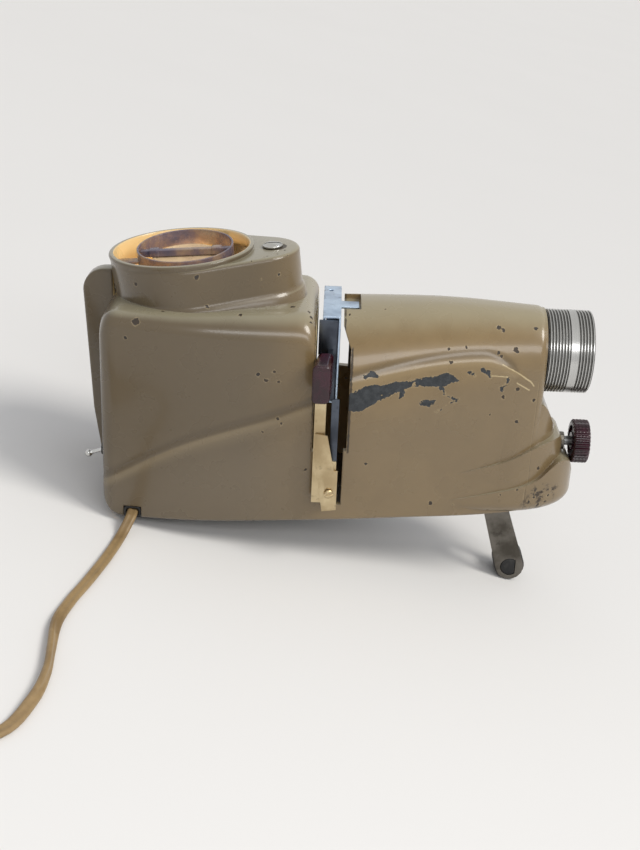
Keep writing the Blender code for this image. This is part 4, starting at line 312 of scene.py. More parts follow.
def eased(profile, radius, steps=3):
    """Round the corners of a closed profile of (length, radius) points, but not those on the axis."""
    made = []
    for i, point in enumerate(profile):
        corner = Vector(point)
        back, ahead = Vector(profile[i - 1]) - corner, Vector(profile[(i + 1) % len(profile)]) - corner
        room = min(radius, back.length * EASED_SHARE, ahead.length * EASED_SHARE)
        if point[1] == 0 or room < WELD / 4 or back.angle(ahead, math.pi) > NEARLY_STRAIGHT:
            made.append(tuple(point))
            continue
        start, end = corner + back.normalized() * room, corner + ahead.normalized() * room
        for t in spread(0, 1, steps):
            spot = start * (1 - t) ** 2 + corner * 2 * t * (1 - t) + end * t**2
            made.append((spot.x, spot.y))
    return made


def turned(profile, centre, place, name, steps=ROUND_STEPS, edge=0.0, closed=True):
    """Turn a profile of (length, radius) points round an axis."""
    bm = bmesh.new()
    columns = []
    for length, radius in eased(profile, edge) if edge else profile:
        count = steps if radius else 1
        column = [bm.verts.new(place(length, radius, i * 2 * math.pi / steps, centre)) for i in range(count)]
        columns.append(column * (steps // count))
    for near, far in zip(columns, columns[1:] + (columns[:1] if closed else [])):
        for i in range(steps):
            j = (i + 1) % steps
            corners = list(dict.fromkeys((near[i], near[j], far[j], far[i])))
            if len(corners) > 2:
                bm.faces.new(corners)
    return object_of(outward(bm), name)


def rod(low, high, radius, centre, place, name, steps=ROUND_STEPS):
    return turned([(low, 0), (low, radius), (high, radius), (high, 0)], centre, place, name, steps)


def tube(low, high, outer, inner, centre, place, name, steps=ROUND_STEPS, edge=0.0):
    return turned([(low, inner), (low, outer), (high, outer), (high, inner)], centre, place, name, steps, edge)


def baked(obj):
    """The object's mesh with its modifiers applied."""
    bpy.context.view_layer.update()
    graph = bpy.context.evaluated_depsgraph_get()
    mesh = bpy.data.meshes.new_from_object(obj.evaluated_get(graph))
    obj.modifiers.clear()
    old = obj.data
    obj.data = mesh
    bpy.data.meshes.remove(old)
    return obj


def combine(target, tools, operation):
    """Apply one exact Boolean after another, and remove the tools."""
    for tool in tools:
        step = target.modifiers.new("shape", "BOOLEAN")
        step.operation, step.solver, step.object = operation, "EXACT", tool
        baked(target)
        with edited(target.data) as bm:
            bmesh.ops.remove_doubles(bm, verts=bm.verts, dist=WELD)
            bmesh.ops.dissolve_degenerate(bm, edges=bm.edges, dist=WELD)
        target.data.materials.clear()
        bpy.data.objects.remove(tool, do_unlink=True)
    return smoothed(target)


def join(target, *tools):
    return combine(target, tools, "UNION")


def cut(target, *tools):
    return combine(target, tools, "DIFFERENCE")


def keep(target, *tools):
    return combine(target, tools, "INTERSECT")


def soften(obj, edge, segments=3):
    """Round the object's edges a little."""
    step = obj.modifiers.new("edges", "BEVEL")
    step.limit_method, step.angle_limit = "ANGLE", BEVEL_ANGLE
    step.width, step.segments = edge, segments
    return smoothed(baked(obj), 45)


def stand(obj):
    """Move a mesh made in the housing's frame to where the housing stands."""
    obj.data.transform(STANCE)
    return obj


def dressed(obj, surface, slot, body, *nodes):
    """Give a piece its finish, its body and the CAD nodes that it stands for."""
    obj.data.materials.clear()
    obj.data.materials.append(surface)
    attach(obj, body)
    if nodes:
        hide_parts(*nodes)
    return obj


def refined(node, surface, slot, edge=FINE_EDGE, segments=2):
    """A CAD node's own form with softened edges and a real finish."""
    bm = bmesh.new()
    bm.from_mesh(frame["nodes"][node].data)
    bmesh.ops.remove_doubles(bm, verts=bm.verts, dist=REFINE_WELD)
    bmesh.ops.dissolve_limit(bm, angle_limit=math.radians(1), verts=bm.verts, edges=bm.edges)
    piece = object_of(bm, node + "_made")
    piece.data.materials.clear()
    soften(piece, edge, segments)
    return dressed(piece, surface, slot, body_of_node[node], node)


def lathed(node, profile, centre, place, surface, slot, edge=FINE_EDGE, steps=ROUND_STEPS):
    """A finely turned piece in the place of a CAD node."""
    piece = stand(turned(profile, centre, place, node + "_made", steps, edge))
    return dressed(piece, surface, slot, body_of_node[node], node)


# ---------------------------------------------------------------- node graphs


class Wire:
    """A socket that can be used in sums; each sum adds its Math node."""

    def __init__(self, graph, socket):
        self.graph, self.socket = graph, socket

    def math(self, operation, *others):
        return self.graph.sum(operation, self, *others)

    def most(self, *others):
        """The highest of this value and some others."""
        return functools.reduce(lambda high, other: high.math("MAXIMUM", other), others, self)

    def between(self, low, high):
        return self.math("MAXIMUM", low).math("MINIMUM", high)

    def __add__(self, other):
        return self.math("ADD", other)

    def __sub__(self, other):
        return self.math("SUBTRACT", other)

    def __rsub__(self, other):
        return self.graph.sum("SUBTRACT", other, self)

    def __mul__(self, other):
        return self.math("MULTIPLY", other)

    def __truediv__(self, other):
        return self.math("DIVIDE", other)

    def __abs__(self):
        return self.math("ABSOLUTE")

    __radd__ = __add__
    __rmul__ = __mul__


def off_axis(first, second):
    """Distance from an axis, from the two coordinates across it."""
    return (first * first + second * second).math("SQRT")


class Graph:
    """A node tree that is written as calls and sums."""

    def __init__(self, tree):
        self.tree = tree

    def node(self, kind, settings=None, sockets=None, out=0):
        """Add a node: its settings first, then the values or links of its sockets."""
        made = self.tree.nodes.new(kind)
        for key, value in (settings or {}).items():
            if key == "stops":
                stops = made.color_ramp.elements
                while len(stops) < len(value):
                    stops.new(1)
                for stop, (place, colour) in zip(stops, value):
                    stop.position, stop.color = place, (*colour, 1)
            else:
                setattr(made, key, value)
        for key, value in (sockets or {}).items():
            if isinstance(value, Wire):
                self.tree.links.new(value.socket, made.inputs[key])
            else:
                made.inputs[key].default_value = value
        return Wire(self, made.outputs[out]) if out is not None else made

    def sum(self, operation, *terms):
        return self.node("ShaderNodeMath", {"operation": operation}, dict(enumerate(terms)))

    def vector(self, operation, *terms, out=0):
        return self.node("ShaderNodeVectorMath", {"operation": operation}, dict(enumerate(terms)), out)

    def axes(self, vector):
        split = self.node("ShaderNodeSeparateXYZ", None, {0: vector}, None)
        return [Wire(self, split.outputs[i]) for i in range(3)]

    def joined(self, *axes):
        return self.node("ShaderNodeCombineXYZ", None, dict(enumerate(axes)))

    def band(self, value, low, high):
        """A mask that goes smoothly from 0 at low to 1 at high."""
        return self.node("ShaderNodeMapRange", {"interpolation_type": "SMOOTHSTEP"}, {
            "Value": value, "From Min": low, "From Max": high})

    def mix(self, share, first, second):
        colours = [c if isinstance(c, Wire) else (*c, 1) for c in (first, second)]
        return self.node("ShaderNodeMix", {"data_type": "RGBA"}, {0: share, 6: colours[0], 7: colours[1]}, 2)

    def layered(self, tone, *layers):
        """Lay colours over a tone one after another, each with its mask."""
        for share, colour in layers:
            tone = self.mix(share, tone, colour)
        return tone


class Finish(Graph):
    """A material built on one Principled shader, in object coordinates."""

    def __init__(self, name, roughness=0.4, metallic=0.0, **constants):
        self.material = bpy.data.materials.new(name)
        self.material.use_nodes = True
        super().__init__(self.material.node_tree)
        self.shader = self.tree.nodes["Principled BSDF"]
        for key, value in {"Roughness": roughness, "Metallic": metallic, **constants}.items():
            self.shader.inputs[key.replace("_", " ")].default_value = value
        self.place = self.node("ShaderNodeTexCoord", out="Object")

    def feed(self, socket, wire):
        self.tree.links.new(wire.socket, self.shader.inputs[socket])

    def noise(self, scale, detail=3.0, roughness=0.5, place=None, out=0):
        return self.node("ShaderNodeTexNoise", None, {
            "Vector": place or self.place, "Scale": scale, "Detail": detail, "Roughness": roughness}, out)

    def patches(self, low, high, *noise):
        """A mask of the places where a noise rises from low to high."""
        return self.band(self.noise(*noise), low, high)

    def covered(self, colour, roughness, height, distance, strength=0.5, normal=None):
        """Feed in the colour, the roughness and the relief, and hand over the material."""
        self.feed("Base Color", colour)
        self.feed("Roughness", roughness)
        sockets = {"Height": height, "Distance": distance, "Strength": strength}
        if normal:
            sockets["Normal"] = normal
        self.feed("Normal", self.node("ShaderNodeBump", None, sockets))
        return self.material

    def in_housing(self):
        """Coordinates in the housing's own frame."""
        return self.node("ShaderNodeMapping", {"vector_type": "TEXTURE"}, {
            "Vector": self.place, "Location": STANCE.translation[:], "Rotation": (0, TILT, 0)})

    def worn_place(self, scale, amount, place=None):
        """Object coordinates shaken by noise, so that edges of marks are ragged."""
        shake = self.vector("SUBTRACT", self.noise(scale, 3, place=place, out=1), (0.5, 0.5, 0.5))
        return self.vector("ADD", place or self.place, self.vector("MULTIPLY", shake, (amount,) * 3))

    def nearest(self, place, spots):
        """How far a place lies outside the nearest of some (point, radius) spots."""
        reaches = [self.vector("DISTANCE", place, tuple(point), out=1) - radius for point, radius in spots]
        return functools.reduce(lambda least, reach: least.math("MINIMUM", reach), reaches)

    def beside(self, place, pairs):
        """How far a place lies outside the nearest of some lines between (point, radius) marks."""
        reaches = []
        for (start, first), (end, last) in pairs:
            run = end - start
            along = self.vector("DOT_PRODUCT", self.vector("SUBTRACT", place, tuple(start)),
                                tuple(run / run.length_squared), out=1)
            share = along.between(0, 1)
            near = self.vector("ADD", self.node("ShaderNodeVectorMath", {"operation": "SCALE"}, {
                0: tuple(run), "Scale": share}), tuple(start))
            reaches.append(self.vector("DISTANCE", place, near, out=1) - (share * (last - first) + first))
        return functools.reduce(lambda least, reach: least.math("MINIMUM", reach), reaches)


# ---------------------------------------------------------------- casting


def smooth_curve(knots, x):
    """A smooth curve through (x, value) knots, without overshoot."""
    if x <= knots[0][0]:
        return knots[0][1]
    if x >= knots[-1][0]:
        return knots[-1][1]
    slopes = [(b[1] - a[1]) / (b[0] - a[0]) for a, b in zip(knots, knots[1:])]
    tangents = [slopes[0]]
    for first, second in zip(slopes, slopes[1:]):
        tangents.append(0 if first * second <= 0 else 2 * first * second / (first + second))
    tangents.append(slopes[-1])
    for i, (a, b) in enumerate(zip(knots, knots[1:])):
        if x <= b[0]:
            span = b[0] - a[0]
            t = (x - a[0]) / span
            return (
                (2 * t**3 - 3 * t**2 + 1) * a[1]
                + (t**3 - 2 * t**2 + t) * span * tangents[i]
                + (3 * t**2 - 2 * t**3) * b[1]
                + (t**3 - t**2) * span * tangents[i + 1]
            )


def half_width(x):
    """Half the housing's width at its widest height."""
    return smooth_curve([(REAR_X, REAR_HALF), (WIDEST_X, WIDEST_HALF), (SLOT_REAR_X, GATE_HALF),
                         (MID_X, MID_HALF), (FACE_X, FACE_HALF)], x)


def foot_half_width(x):
    """Half the width at the underside, which draws in under the lens."""
    narrowing = max(0, (x - MID_X) / (FACE_X - MID_X))
    return half_width(x) - (FACE_HALF - FACE_FOOT_HALF) * narrowing**2


def top_height(x):
    """Height of the shoulder behind the gate and of the crown before it."""
    if x <= SLOT_REAR_X:
        return SHOULDER_TOP
    return smooth_curve([(SLOT_CROWN_X, CROWN_REAR_TOP), (CROWN_X, CROWN_TOP), (FACE_X, CROWN_FRONT_TOP)], x)


def rounding(x):
    """Width and height of the corner between side and top."""
    if x <= SLOT_REAR_X:
        share = max(0, (x - REAR_X) / (SLOT_REAR_X - REAR_X))
        radius = SHOULDER_REAR_ROUND + (SHOULDER_ROUND - SHOULDER_REAR_ROUND) * share
        return radius, radius
    share = (x - SLOT_REAR_X) / (FACE_X - SLOT_REAR_X)
    return half_width(x) - CROWN_FLAT, CROWN_REAR_DROP + (CROWN_FRONT_DROP - CROWN_REAR_DROP) * share


def quarter(radius, depth):
    """How far a quarter round of this radius draws in at this depth from its end."""
    if depth >= radius:
        return 0
    return radius - math.sqrt(radius**2 - (radius - depth) ** 2)


def eased_share(share):
    """A share from 0 to 1 that leaves and arrives softly."""
    share = min(1, max(0, share))
    return share * share * (3 - 2 * share)


def crease_rise(x, z):
    """Height over the crease, counted in widths of its soft step."""
    return (z - smooth_curve(CREASE, x)) / CREASE_SOFT


def crease_faded(x):
    """How far the crease has faded out towards the front, from 0 to 1."""
    return eased_share((x - CREASE_FADE_X) / (FACE_X - FACE_ROUND - CREASE_FADE_X))


def crease_offset(x, z):
    """How far the flank stands out: a soft step under the crease, with a shallow hollow over it."""
    rise = crease_rise(x, z)
    fade = 1 - crease_faded(x)
    hollow = CREASE_HOLLOW * math.exp(-((rise - 1.3) / 0.7) ** 2)
    return fade * (CREASE_OUT * eased_share(0.5 - rise / 2) - hollow)


def housing_ring(x, inset, floor, creased):
    """One cross-section of the housing, drawn in by inset all round."""
    from_rear = x - REAR_X - inset
    from_face = FACE_X - inset - x
    side_in = inset + quarter(REAR_PLAN_ROUND, from_rear) + quarter(FACE_ROUND, from_face)
    top_in = inset + quarter(REAR_TOP_ROUND, from_rear) + quarter(FACE_ROUND, from_face)
    if x <= SLOT_REAR_X:
        top_in += quarter(SHOULDER_END_ROUND, SLOT_REAR_X - x)
    foot = floor + quarter(REAR_FOOT_ROUND, from_rear)
    side = half_width(x) - side_in
    foot_side = foot_half_width(x) - side_in
    across, drop = rounding(x)
    across = min(across, side - CROWN_FLAT)
    top = top_height(x) - top_in
    low, high = foot + FOOT_ROUND, top - drop

    def wall(z):
        """Half the width at a height on the side wall or in its rounding into the top."""
        if z <= high:
            return foot_side + (side - foot_side) * (z - low) / (high - low)
        return side - across * (1 - math.cos(math.asin(1 - (top - z) / drop)))

    right = [(foot_side - FOOT_ROUND * (1 - math.cos(a)), foot + FOOT_ROUND * (1 - math.sin(a)))
             for a in (math.pi / 2 * (1 - i / 5) for i in range(6))]
    crease = smooth_curve(CREASE, x)
    start, end = crease - 2 * CREASE_SOFT, crease + 3 * CREASE_SOFT
    right += [(wall(z), z) for z in spread(low, start, 4)[1:4] + spread(start, end, 14)]
    first = math.asin(max(0, 1 - (top - end) / drop))
    right += [(side - across * (1 - math.cos(a)), top - drop * (1 - math.sin(a)))
              for a in spread(first, math.pi / 2, RING_STEPS)[1:]]
    if creased:
        right = [(y + crease_offset(x, z), z) for y, z in right]
    return [Vector((x, y, z)) for y, z in right + [(-y, z) for y, z in reversed(right)]]


def housing_shell(inset, floor, creased, name):
    """The housing's closed outer form, or its hollow when it is drawn in."""
    shares = (0, 0.03, 0.08, 0.17, 0.28, 0.42, 0.57, 0.78, 1)
    rear = [REAR_X + inset + REAR_FOOT_ROUND * share for share in shares]
    middle = spread(REAR_X, SLOT_REAR_X, 32)[5:30]
    middle += [SLOT_REAR_X - SHOULDER_END_ROUND * share for share in (0.8, 0.55, 0.35, 0.2, 0.1, 0.03, 0)]
    front = spread(SLOT_CROWN_X, FACE_X, 44)[:41]
    face = [FACE_X - inset - FACE_ROUND * share for share in (1, 0.7, 0.45, 0.25, 0.1, 0.03, 0)]
    return loft([housing_ring(x, inset, floor, creased) for x in rear + middle + front + face], name)


def bow_outline(rear_x, nose_x, outward_by, inset):
    """Plan outline of one tier of the nose: the sides, then half an ellipse."""

    def side(x):
        fade = min(1, max(0, (x - rear_x) / (BOW_START_X - rear_x)))
        return half_width(x) + outward_by * fade - inset

    run = spread(rear_x, BOW_START_X, RING_STEPS)[:-1]
    reach = nose_x - inset - BOW_START_X
    nose = [(BOW_START_X + reach * x, side(BOW_START_X) * y)
            for x, y in arc(0, 0, 1, -90, 90, 3 * RING_STEPS)]
    return [(x, -side(x)) for x in run] + nose + [(x, side(x)) for x in reversed(run)]


def below_curve(knots, start, end, steps):
    """A broad block whose top follows a smooth curve through the knots."""
    outline = [(x, smooth_curve(knots, x)) for x in spread(start, end, steps)]
    outline += [(end, -OVERRUN), (start, -OVERRUN)]
    return prism(outline, -2 * WIDEST_HALF, 2 * WIDEST_HALF, upright, "below_curve")


def nose_tier(outward_by, knots, name):
    """One tier of the nose, rounded underneath and kept below its top curve."""
    rear_x, nose_x = knots[0][0], knots[-1][0]
    levels = []
    for depth in spread(0, NOSE_FOOT_ROUND, 6):
        outline = bow_outline(rear_x, nose_x, outward_by, quarter(NOSE_FOOT_ROUND, depth))
        levels.append([Vector((x, y, NOSE_FOOT_Z + depth)) for x, y in outline])
    levels.append([Vector((p.x, p.y, SHOULDER_TOP)) for p in levels[-1]])
    return keep(loft(levels, name), below_curve(knots, rear_x - OVERRUN, nose_x + OVERRUN, 64))


def lean_height(x):
    """How much higher the leaning rim plane is at x than over the lamp."""
    return (x - CHIMNEY_X) * math.tan(CHIMNEY_LEAN)


def chimney_level(height, outward_by):
    """One ring of the chimney, round its well and its ear, on a plane that leans as the rim does."""
    sink = (RIM_Z - height) / (RIM_Z - SHOULDER_TOP)
    big, small = RIM_RADIUS + outward_by, EAR_RADIUS + outward_by
    well_x, ear_x = CHIMNEY_X + CHIMNEY_FOOT_SHIFT * sink, EAR_X + EAR_FOOT_SHIFT * sink
    turn = math.degrees(math.acos((big - small) / (ear_x - well_x)))
    outline = arc(ear_x, 0, small, -turn, turn, 32) + arc(well_x, 0, big, turn, 360 - turn, 64)
    return [Vector((x, y, height + lean_height(x))) for x, y in outline]


def leaning_ring(height, radius, shift=0.0):
    """A circle round the lamp, on a plane that leans as the rim does."""
    circle = arc(CHIMNEY_X + shift, 0, radius, 0, 360, ROUND_STEPS)[:-1]
    return [Vector((x, y, height + lean_height(x))) for x, y in circle]


def chimney_body():
    """The chimney with its hollow foot, rounded ear and the raised lip of its well."""
    ear_top = RIM_Z - RIM_RISE
    levels = [chimney_level(SHOULDER_TOP - 3 * OVERRUN, CHIMNEY_FLARE + 2 * CHIMNEY_FILLET)]
    for rise in spread(0, 1, 8):
        levels.append(chimney_level(SHOULDER_TOP - 0.001 + 2 * CHIMNEY_FILLET * rise,
                                    CHIMNEY_FLARE * 0.9 + CHIMNEY_FILLET * 0.9 * (1 - rise) ** 2))
    turns = spread(0, math.pi / 2, 6)
    levels += [chimney_level(ear_top - EAR_ROUND * (1 - math.sin(turn)), -EAR_ROUND * (1 - math.cos(turn)))
               for turn in turns]
    body = loft(levels, "chimney_body")
    lip = RIM_WALL * 0.4
    rim = [leaning_ring(ear_top - RIM_BAND, RIM_RADIUS - 2 * CHIMNEY_FLARE),
           leaning_ring(ear_top - RIM_BAND / 2, RIM_RADIUS - CHIMNEY_FLARE)]
    rim += [leaning_ring(RIM_Z - GAP / 2 - lip * (1 - math.sin(turn)), RIM_RADIUS - lip * (1 - math.cos(turn)))
            for turn in turns]
    return join(body, loft(rim, "rim"))


def chimney_well():
    """What the chimney leaves open: its well and the hollow under its ear."""
    radius = RIM_RADIUS - RIM_WALL
    foot = SHOULDER_TOP - SHOULDER_ROUND
    shift = CHIMNEY_FOOT_SHIFT * (RIM_Z - foot) / (RIM_Z - SHOULDER_TOP)
    well = [leaning_ring(foot, radius, shift), leaning_ring(RIM_Z - 0.0012, radius),
            leaning_ring(RIM_Z - 0.0004, radius + 0.0003), leaning_ring(RIM_Z + OVERRUN, radius + 0.004)]
    hollow = [chimney_level(z, -WALL - CHIMNEY_FILLET) for z in (foot, RIM_Z - RIM_RISE - EAR_PLATE)]
    return loft(well, "well"), loft(hollow, "hollow")


def rear_fin():
    """The upright fin down the middle of the rear wall."""
    inner_x = REAR_X + WALL * 0.8
    run = FIN_FOOT_X - FIN_TOP_X
    outline = (
        [(inner_x, FIN_FOOT_Z)]
        + arc(FIN_FOOT_X + FIN_ROUND / 2, FIN_FOOT_Z + FIN_ROUND / 2, FIN_ROUND / 2, 270, 180, 8)
        + [(FIN_TOP_X + run * 0.45, AXIS_Z * 0.5)]
        + arc(FIN_TOP_X + FIN_ROUND, FIN_TOP - FIN_ROUND, FIN_ROUND, 180, 90, 16)
        + [(CHIMNEY_X - RIM_RADIUS + RIM_WALL * 0.8, FIN_TOP), (inner_x, SHOULDER_TOP - REAR_TOP_ROUND)]
    )
    return soften(prism(outline, -FIN_HALF, FIN_HALF, upright, "fin"), 0.0016, 4)


def gate_slot():
    """The cuts that let the changer in from above and from the near side."""
    high = SHOULDER_TOP + RIM_Z
    upper = [(SLOT_REAR_X, SLOT_LOW_Z), (SLOT_FRONT_X, SLOT_LOW_Z), (SLOT_FRONT_X, GATE_TOP_Z - SHOULDER_ROUND),
             (SLOT_CROWN_X, GATE_TOP_Z - NOTCH_DEPTH), (SLOT_CROWN_X, high), (SLOT_REAR_X, high)]
    far = [(x, max(z, SLOT_FAR_Z)) for x, z in upper]
    tail = [(TAIL_SLOT_REAR_X, TAIL_SLOT_Z), (TAIL_SLOT_FRONT_X, TAIL_SLOT_Z),
            (TAIL_SLOT_FRONT_X, SLOT_LOW_Z + OVERRUN), (SLOT_REAR_X, SLOT_LOW_Z + OVERRUN),
            (SLOT_REAR_X + 0.0024, SLOT_LOW_Z - OVERRUN)]
    return (
        prism(upper, -2 * WIDEST_HALF, 0, upright, "near_slot"),
        prism(far, -OVERRUN, 2 * WIDEST_HALF, upright, "far_slot"),
        prism(tail, -2 * WIDEST_HALF, -GATE_HALF * 0.5, upright, "tail_slot"),
        box((SLOT_CROWN_X - OVERRUN, NOTCH_NEAR_Y, GATE_TOP_Z - PLATE - GAP),
            (SLOT_CROWN_X + NOTCH_LENGTH, NOTCH_FAR_Y, high), "notch"),
    )


def lean(obj, pivot):
    """Tip a piece over with the chimney about a point of its own."""
    place = Matrix.Translation(Vector(pivot))
    obj.data.transform(place @ Matrix.Rotation(-CHIMNEY_LEAN, 4, "Y") @ place.inverted())
    return obj


def casting():
    """The one cast body: lamphouse, chimney, fin, front housing and stepped nose.

    Each point of it also keeps its height over the crease, by which painted shade and painted light are laid on
    the paint at the crease.
    """
    shell = housing_shell(0, 0, True, "housing")
    bow = nose_tier(-BOW_IN, ((BOW_REAR_X, BOW_TOP), (FACE_X, BOW_TOP), (BOW_NOSE_X, BOW_FRONT_Z)), "bow")
    join(shell, bow, nose_tier(UPPER_TIER_OUT, UPPER_TIER, "upper_tier"),
         nose_tier(LOWER_TIER_OUT, LOWER_TIER, "lower_tier"), rear_fin(), chimney_body())
    low = bow_outline(LOWER_TIER[0][0], LOWER_TIER[-1][0], LOWER_TIER_OUT, NOSE_WALL)
    high = bow_outline(BOW_REAR_X, BOW_NOSE_X, -BOW_IN, BOW_WALL)
    low_top = LOWER_TIER[-1][1] - WALL
    cut(shell, housing_shell(WALL, -(REAR_FOOT_ROUND + OVERRUN), False, "cavity"),
        prism(low, -OVERRUN, low_top, flat, "low_hollow"),
        prism(high, low_top - WALL, BOW_HOLLOW_TOP, flat, "high_hollow"), *chimney_well())
    boss_rear = SLEEVE_FRONT_X - 4 * WALL
    join(shell, rod(boss_rear, SLEEVE_FRONT_X, SLEEVE_RADIUS + BORE_WALL, LENS_AXIS, along_x, "boss"),
         box((SLOT_CROWN_X - WALL / 2, NOTCH_NEAR_Y - WALL, GATE_TOP_Z - NOTCH_DEPTH),
             (SLOT_CROWN_X + NOTCH_LENGTH + WALL, NOTCH_FAR_Y + WALL, GATE_TOP_Z - SEAT_DROP), "seat"))
    cut(shell, *gate_slot())
    ear_top = ear_top_z()
    cut(shell, rod(boss_rear - OVERRUN, FACE_X + OVERRUN, SLEEVE_RADIUS + GAP, LENS_AXIS, along_x, "bore"),
        rod(BUSH_REAR_X - OVERRUN, BUSH_FRONT_X + OVERRUN, BUSH_RADIUS + GAP, LIFT_AXIS, along_x, "bush", 48),
        rod(REAR_X - OVERRUN, REAR_X + WALL + OVERRUN, SWITCH_NECK_RADIUS + GAP, (0, SWITCH_Y, SWITCH_Z),
            along_x, "neck", 32),
        lean(rod(ear_top - EAR_PLATE - OVERRUN, ear_top + OVERRUN, EAR_SCREW_SHANK + GAP,
                 (EAR_SCREW_X, 0, 0), along_z, "hole", 32), (EAR_SCREW_X, 0, ear_top)),
        box((OUTLET_X - OUTLET_HALF, -2 * WIDEST_HALF, -OVERRUN),
            (OUTLET_X + OUTLET_HALF, -OUTLET_NOTCH_Y, OUTLET_HEIGHT), "outlet"))
    heights = shell.data.attributes.new("over_crease", "FLOAT", "POINT")
    for spot, vertex in zip(heights.data, shell.data.vertices):
        x, y, z = vertex.co
        on_flank = abs(y) > FACE_FOOT_HALF * 0.8 and x < FACE_X - FACE_ROUND
        rise = crease_rise(x, z) if on_flank else CREASE_REACH
        rise += math.copysign(CREASE_PUSH * crease_faded(x), rise)
        spot.value = max(-CREASE_REACH, min(CREASE_REACH, rise))
    return stand(shell)


def ear_top_z():
    """Height of the chimney's ear where its screw sits."""
    return RIM_Z - RIM_RISE + lean_height(EAR_SCREW_X)


# ---------------------------------------------------------------- finishes

# Where the paint is chipped: across and down in the image, radius in tenths of a millimetre
CHIPS = (
    (252, 261, 6), (264, 257, 8), (267, 256, 7), (277, 254, 6), (285, 250, 8), (288, 255, 6),
    (279, 275, 8), (261, 279, 7), (197, 277, 13), (136, 284, 13), (136, 321, 22), (163, 311, 10),
    (207, 306, 10), (240, 315, 11), (293, 307, 15), (125, 338, 9), (309, 312, 12), (312, 318, 13),
    (311, 322, 9), (258, 375, 11), (266, 380, 14), (274, 372, 10), (279, 382, 11), (277, 419, 11),
    (281, 424, 10), (263, 432, 8), (305, 470, 11), (313, 488, 10), (499, 328, 14), (503, 330, 13),
    (536, 329, 13), (516, 349, 15), (518, 352, 12), (499, 353, 12), (502, 357, 9), (466, 347, 8),
    (449, 350, 9), (451, 362, 12), (518, 389, 12), (503, 397, 11), (533, 401, 12), (517, 421, 10),
    (430, 503, 14), (538, 469, 11), (385, 309, 7), (350, 315, 8), (366, 464, 8), (490, 415, 7),
    (453, 505, 7), (500, 494, 8), (517, 490, 8), (528, 502, 12), (534, 497, 10), (541, 492, 11),
    (548, 495, 9), (537, 505, 13), (545, 501, 10), (553, 489, 8),
)
# Scraped places of the front housing, each a line of such marks that run together
SCRAPES = (
    ((352, 404, 56), (360, 400, 66), (370, 396, 60), (381, 392, 48), (393, 388, 33), (403, 386, 26),
     (413, 383, 21), (423, 381, 25), (432, 381, 36), (440, 381, 37), (446, 379, 40), (451, 379, 24),
     (457, 381, 10)),
    ((402, 387, 20), (402, 397, 15)),
    ((440, 388, 10), (444, 397, 7), (458, 399, 8), (451, 403, 7)),
    ((434, 413, 5), (441, 409, 6), (447, 407, 5)),
    ((423, 403, 20), (428, 404, 24), (434, 402, 9)),
    ((365, 376, 16), (371, 374, 22), (378, 376, 12)),
    ((346, 379, 14), (351, 381, 9)),
    ((349, 397, 9), (357, 392, 9)),
    ((469, 373, 11), (475, 375, 10)),
    ((483, 371, 13), (491, 375, 10)),
    ((508, 379, 9), (502, 389, 15)),
)
# Rough, flaked paint low on the nose, and light scratches
FLAKED = ((541, 499, 130), (531, 503, 90), (551, 492, 80))
SCRATCHES = (
    ((503, 365, 3), (518, 373, 3), (531, 382, 4), (534, 386, 3)),
    ((517, 383, 3), (529, 390, 4)),
    ((492, 376, 3), (508, 377, 3)),
    ((539, 355, 3), (548, 353, 4)),
    ((338, 338, 2), (345, 344, 2)),
)
MARK_UNIT = 0.0001
LINEAR_GAMMA = 2.2


def shade(red, green, blue):
    """A colour written as eight-bit values, as shader numbers."""
    return tuple((value / 255) ** LINEAR_GAMMA for value in (red, green, blue))


def spots_on(obj, marks):
    """Put marks of the image on the surface that the camera sees there."""
    mesh = obj.data
    tree = BVHTree.FromPolygons([v.co for v in mesh.vertices], [tuple(p.vertices) for p in mesh.polygons])
    found = []
    for across, down, size in marks:
        point = tree.ray_cast(CAMERA_PLACE, view_ray(across, down))[0]
        if point:
            found.append((point, size * MARK_UNIT))
    return found


def lines_on(obj, lines):
    """Put lines of such marks on the surface, as pairs of neighbouring marks."""
    pairs = []
    for line in lines:
        marks = spots_on(obj, line)
        pairs += zip(marks, marks[1:])
    return pairs


def paint_tone_with_painted_light(paint, x, z, up, cloud, streak):
    """The unworn paint's colour, with painted light and shade: painted shade on the lamphouse side, painted
    light low down, dust and a painted sky reflection on top, painted shade and light at the crease.
    """
    over_crease = paint.node("ShaderNodeAttribute", {"attribute_name": "over_crease"}, out="Fac")
    # masks of the painted shade in the hollow over the crease and the painted light on the flank under it
    hollow = paint.band(over_crease, -0.3, 0.7) * paint.band(over_crease, 2.8, 1.2)
    flank = paint.band(over_crease, 0.2, -0.5) * paint.band(over_crease, -3.0, -1.0)
    return paint.layered(
        paint.mix(paint.band(cloud + streak * 0.35, 0.48, 0.86), shade(120, 99, 64), shade(131, 109, 72)),
        # painted shade: the lamphouse side is darkened for the shade it stands in
        (paint.band(x * -1 + cloud * 0.03, 0.000, 0.070) * 0.85, shade(84, 74, 58)),
        # painted light: lighter and greyer low down, for the light on the lower flank
        (paint.band(z * -1 + x * 0.30 + cloud * 0.02, -0.085, -0.035) * 0.45, shade(112, 100, 82)),
        # dust and a painted sky reflection: faces that look up are lighter
        (paint.band(up + cloud * 0.25, 0.72, 1.10) * 0.5, shade(168, 163, 138)),
        # painted shade over the crease, painted light under it
        (hollow * 0.42, shade(70, 58, 40)), (flank * 0.16, shade(190, 170, 132)))


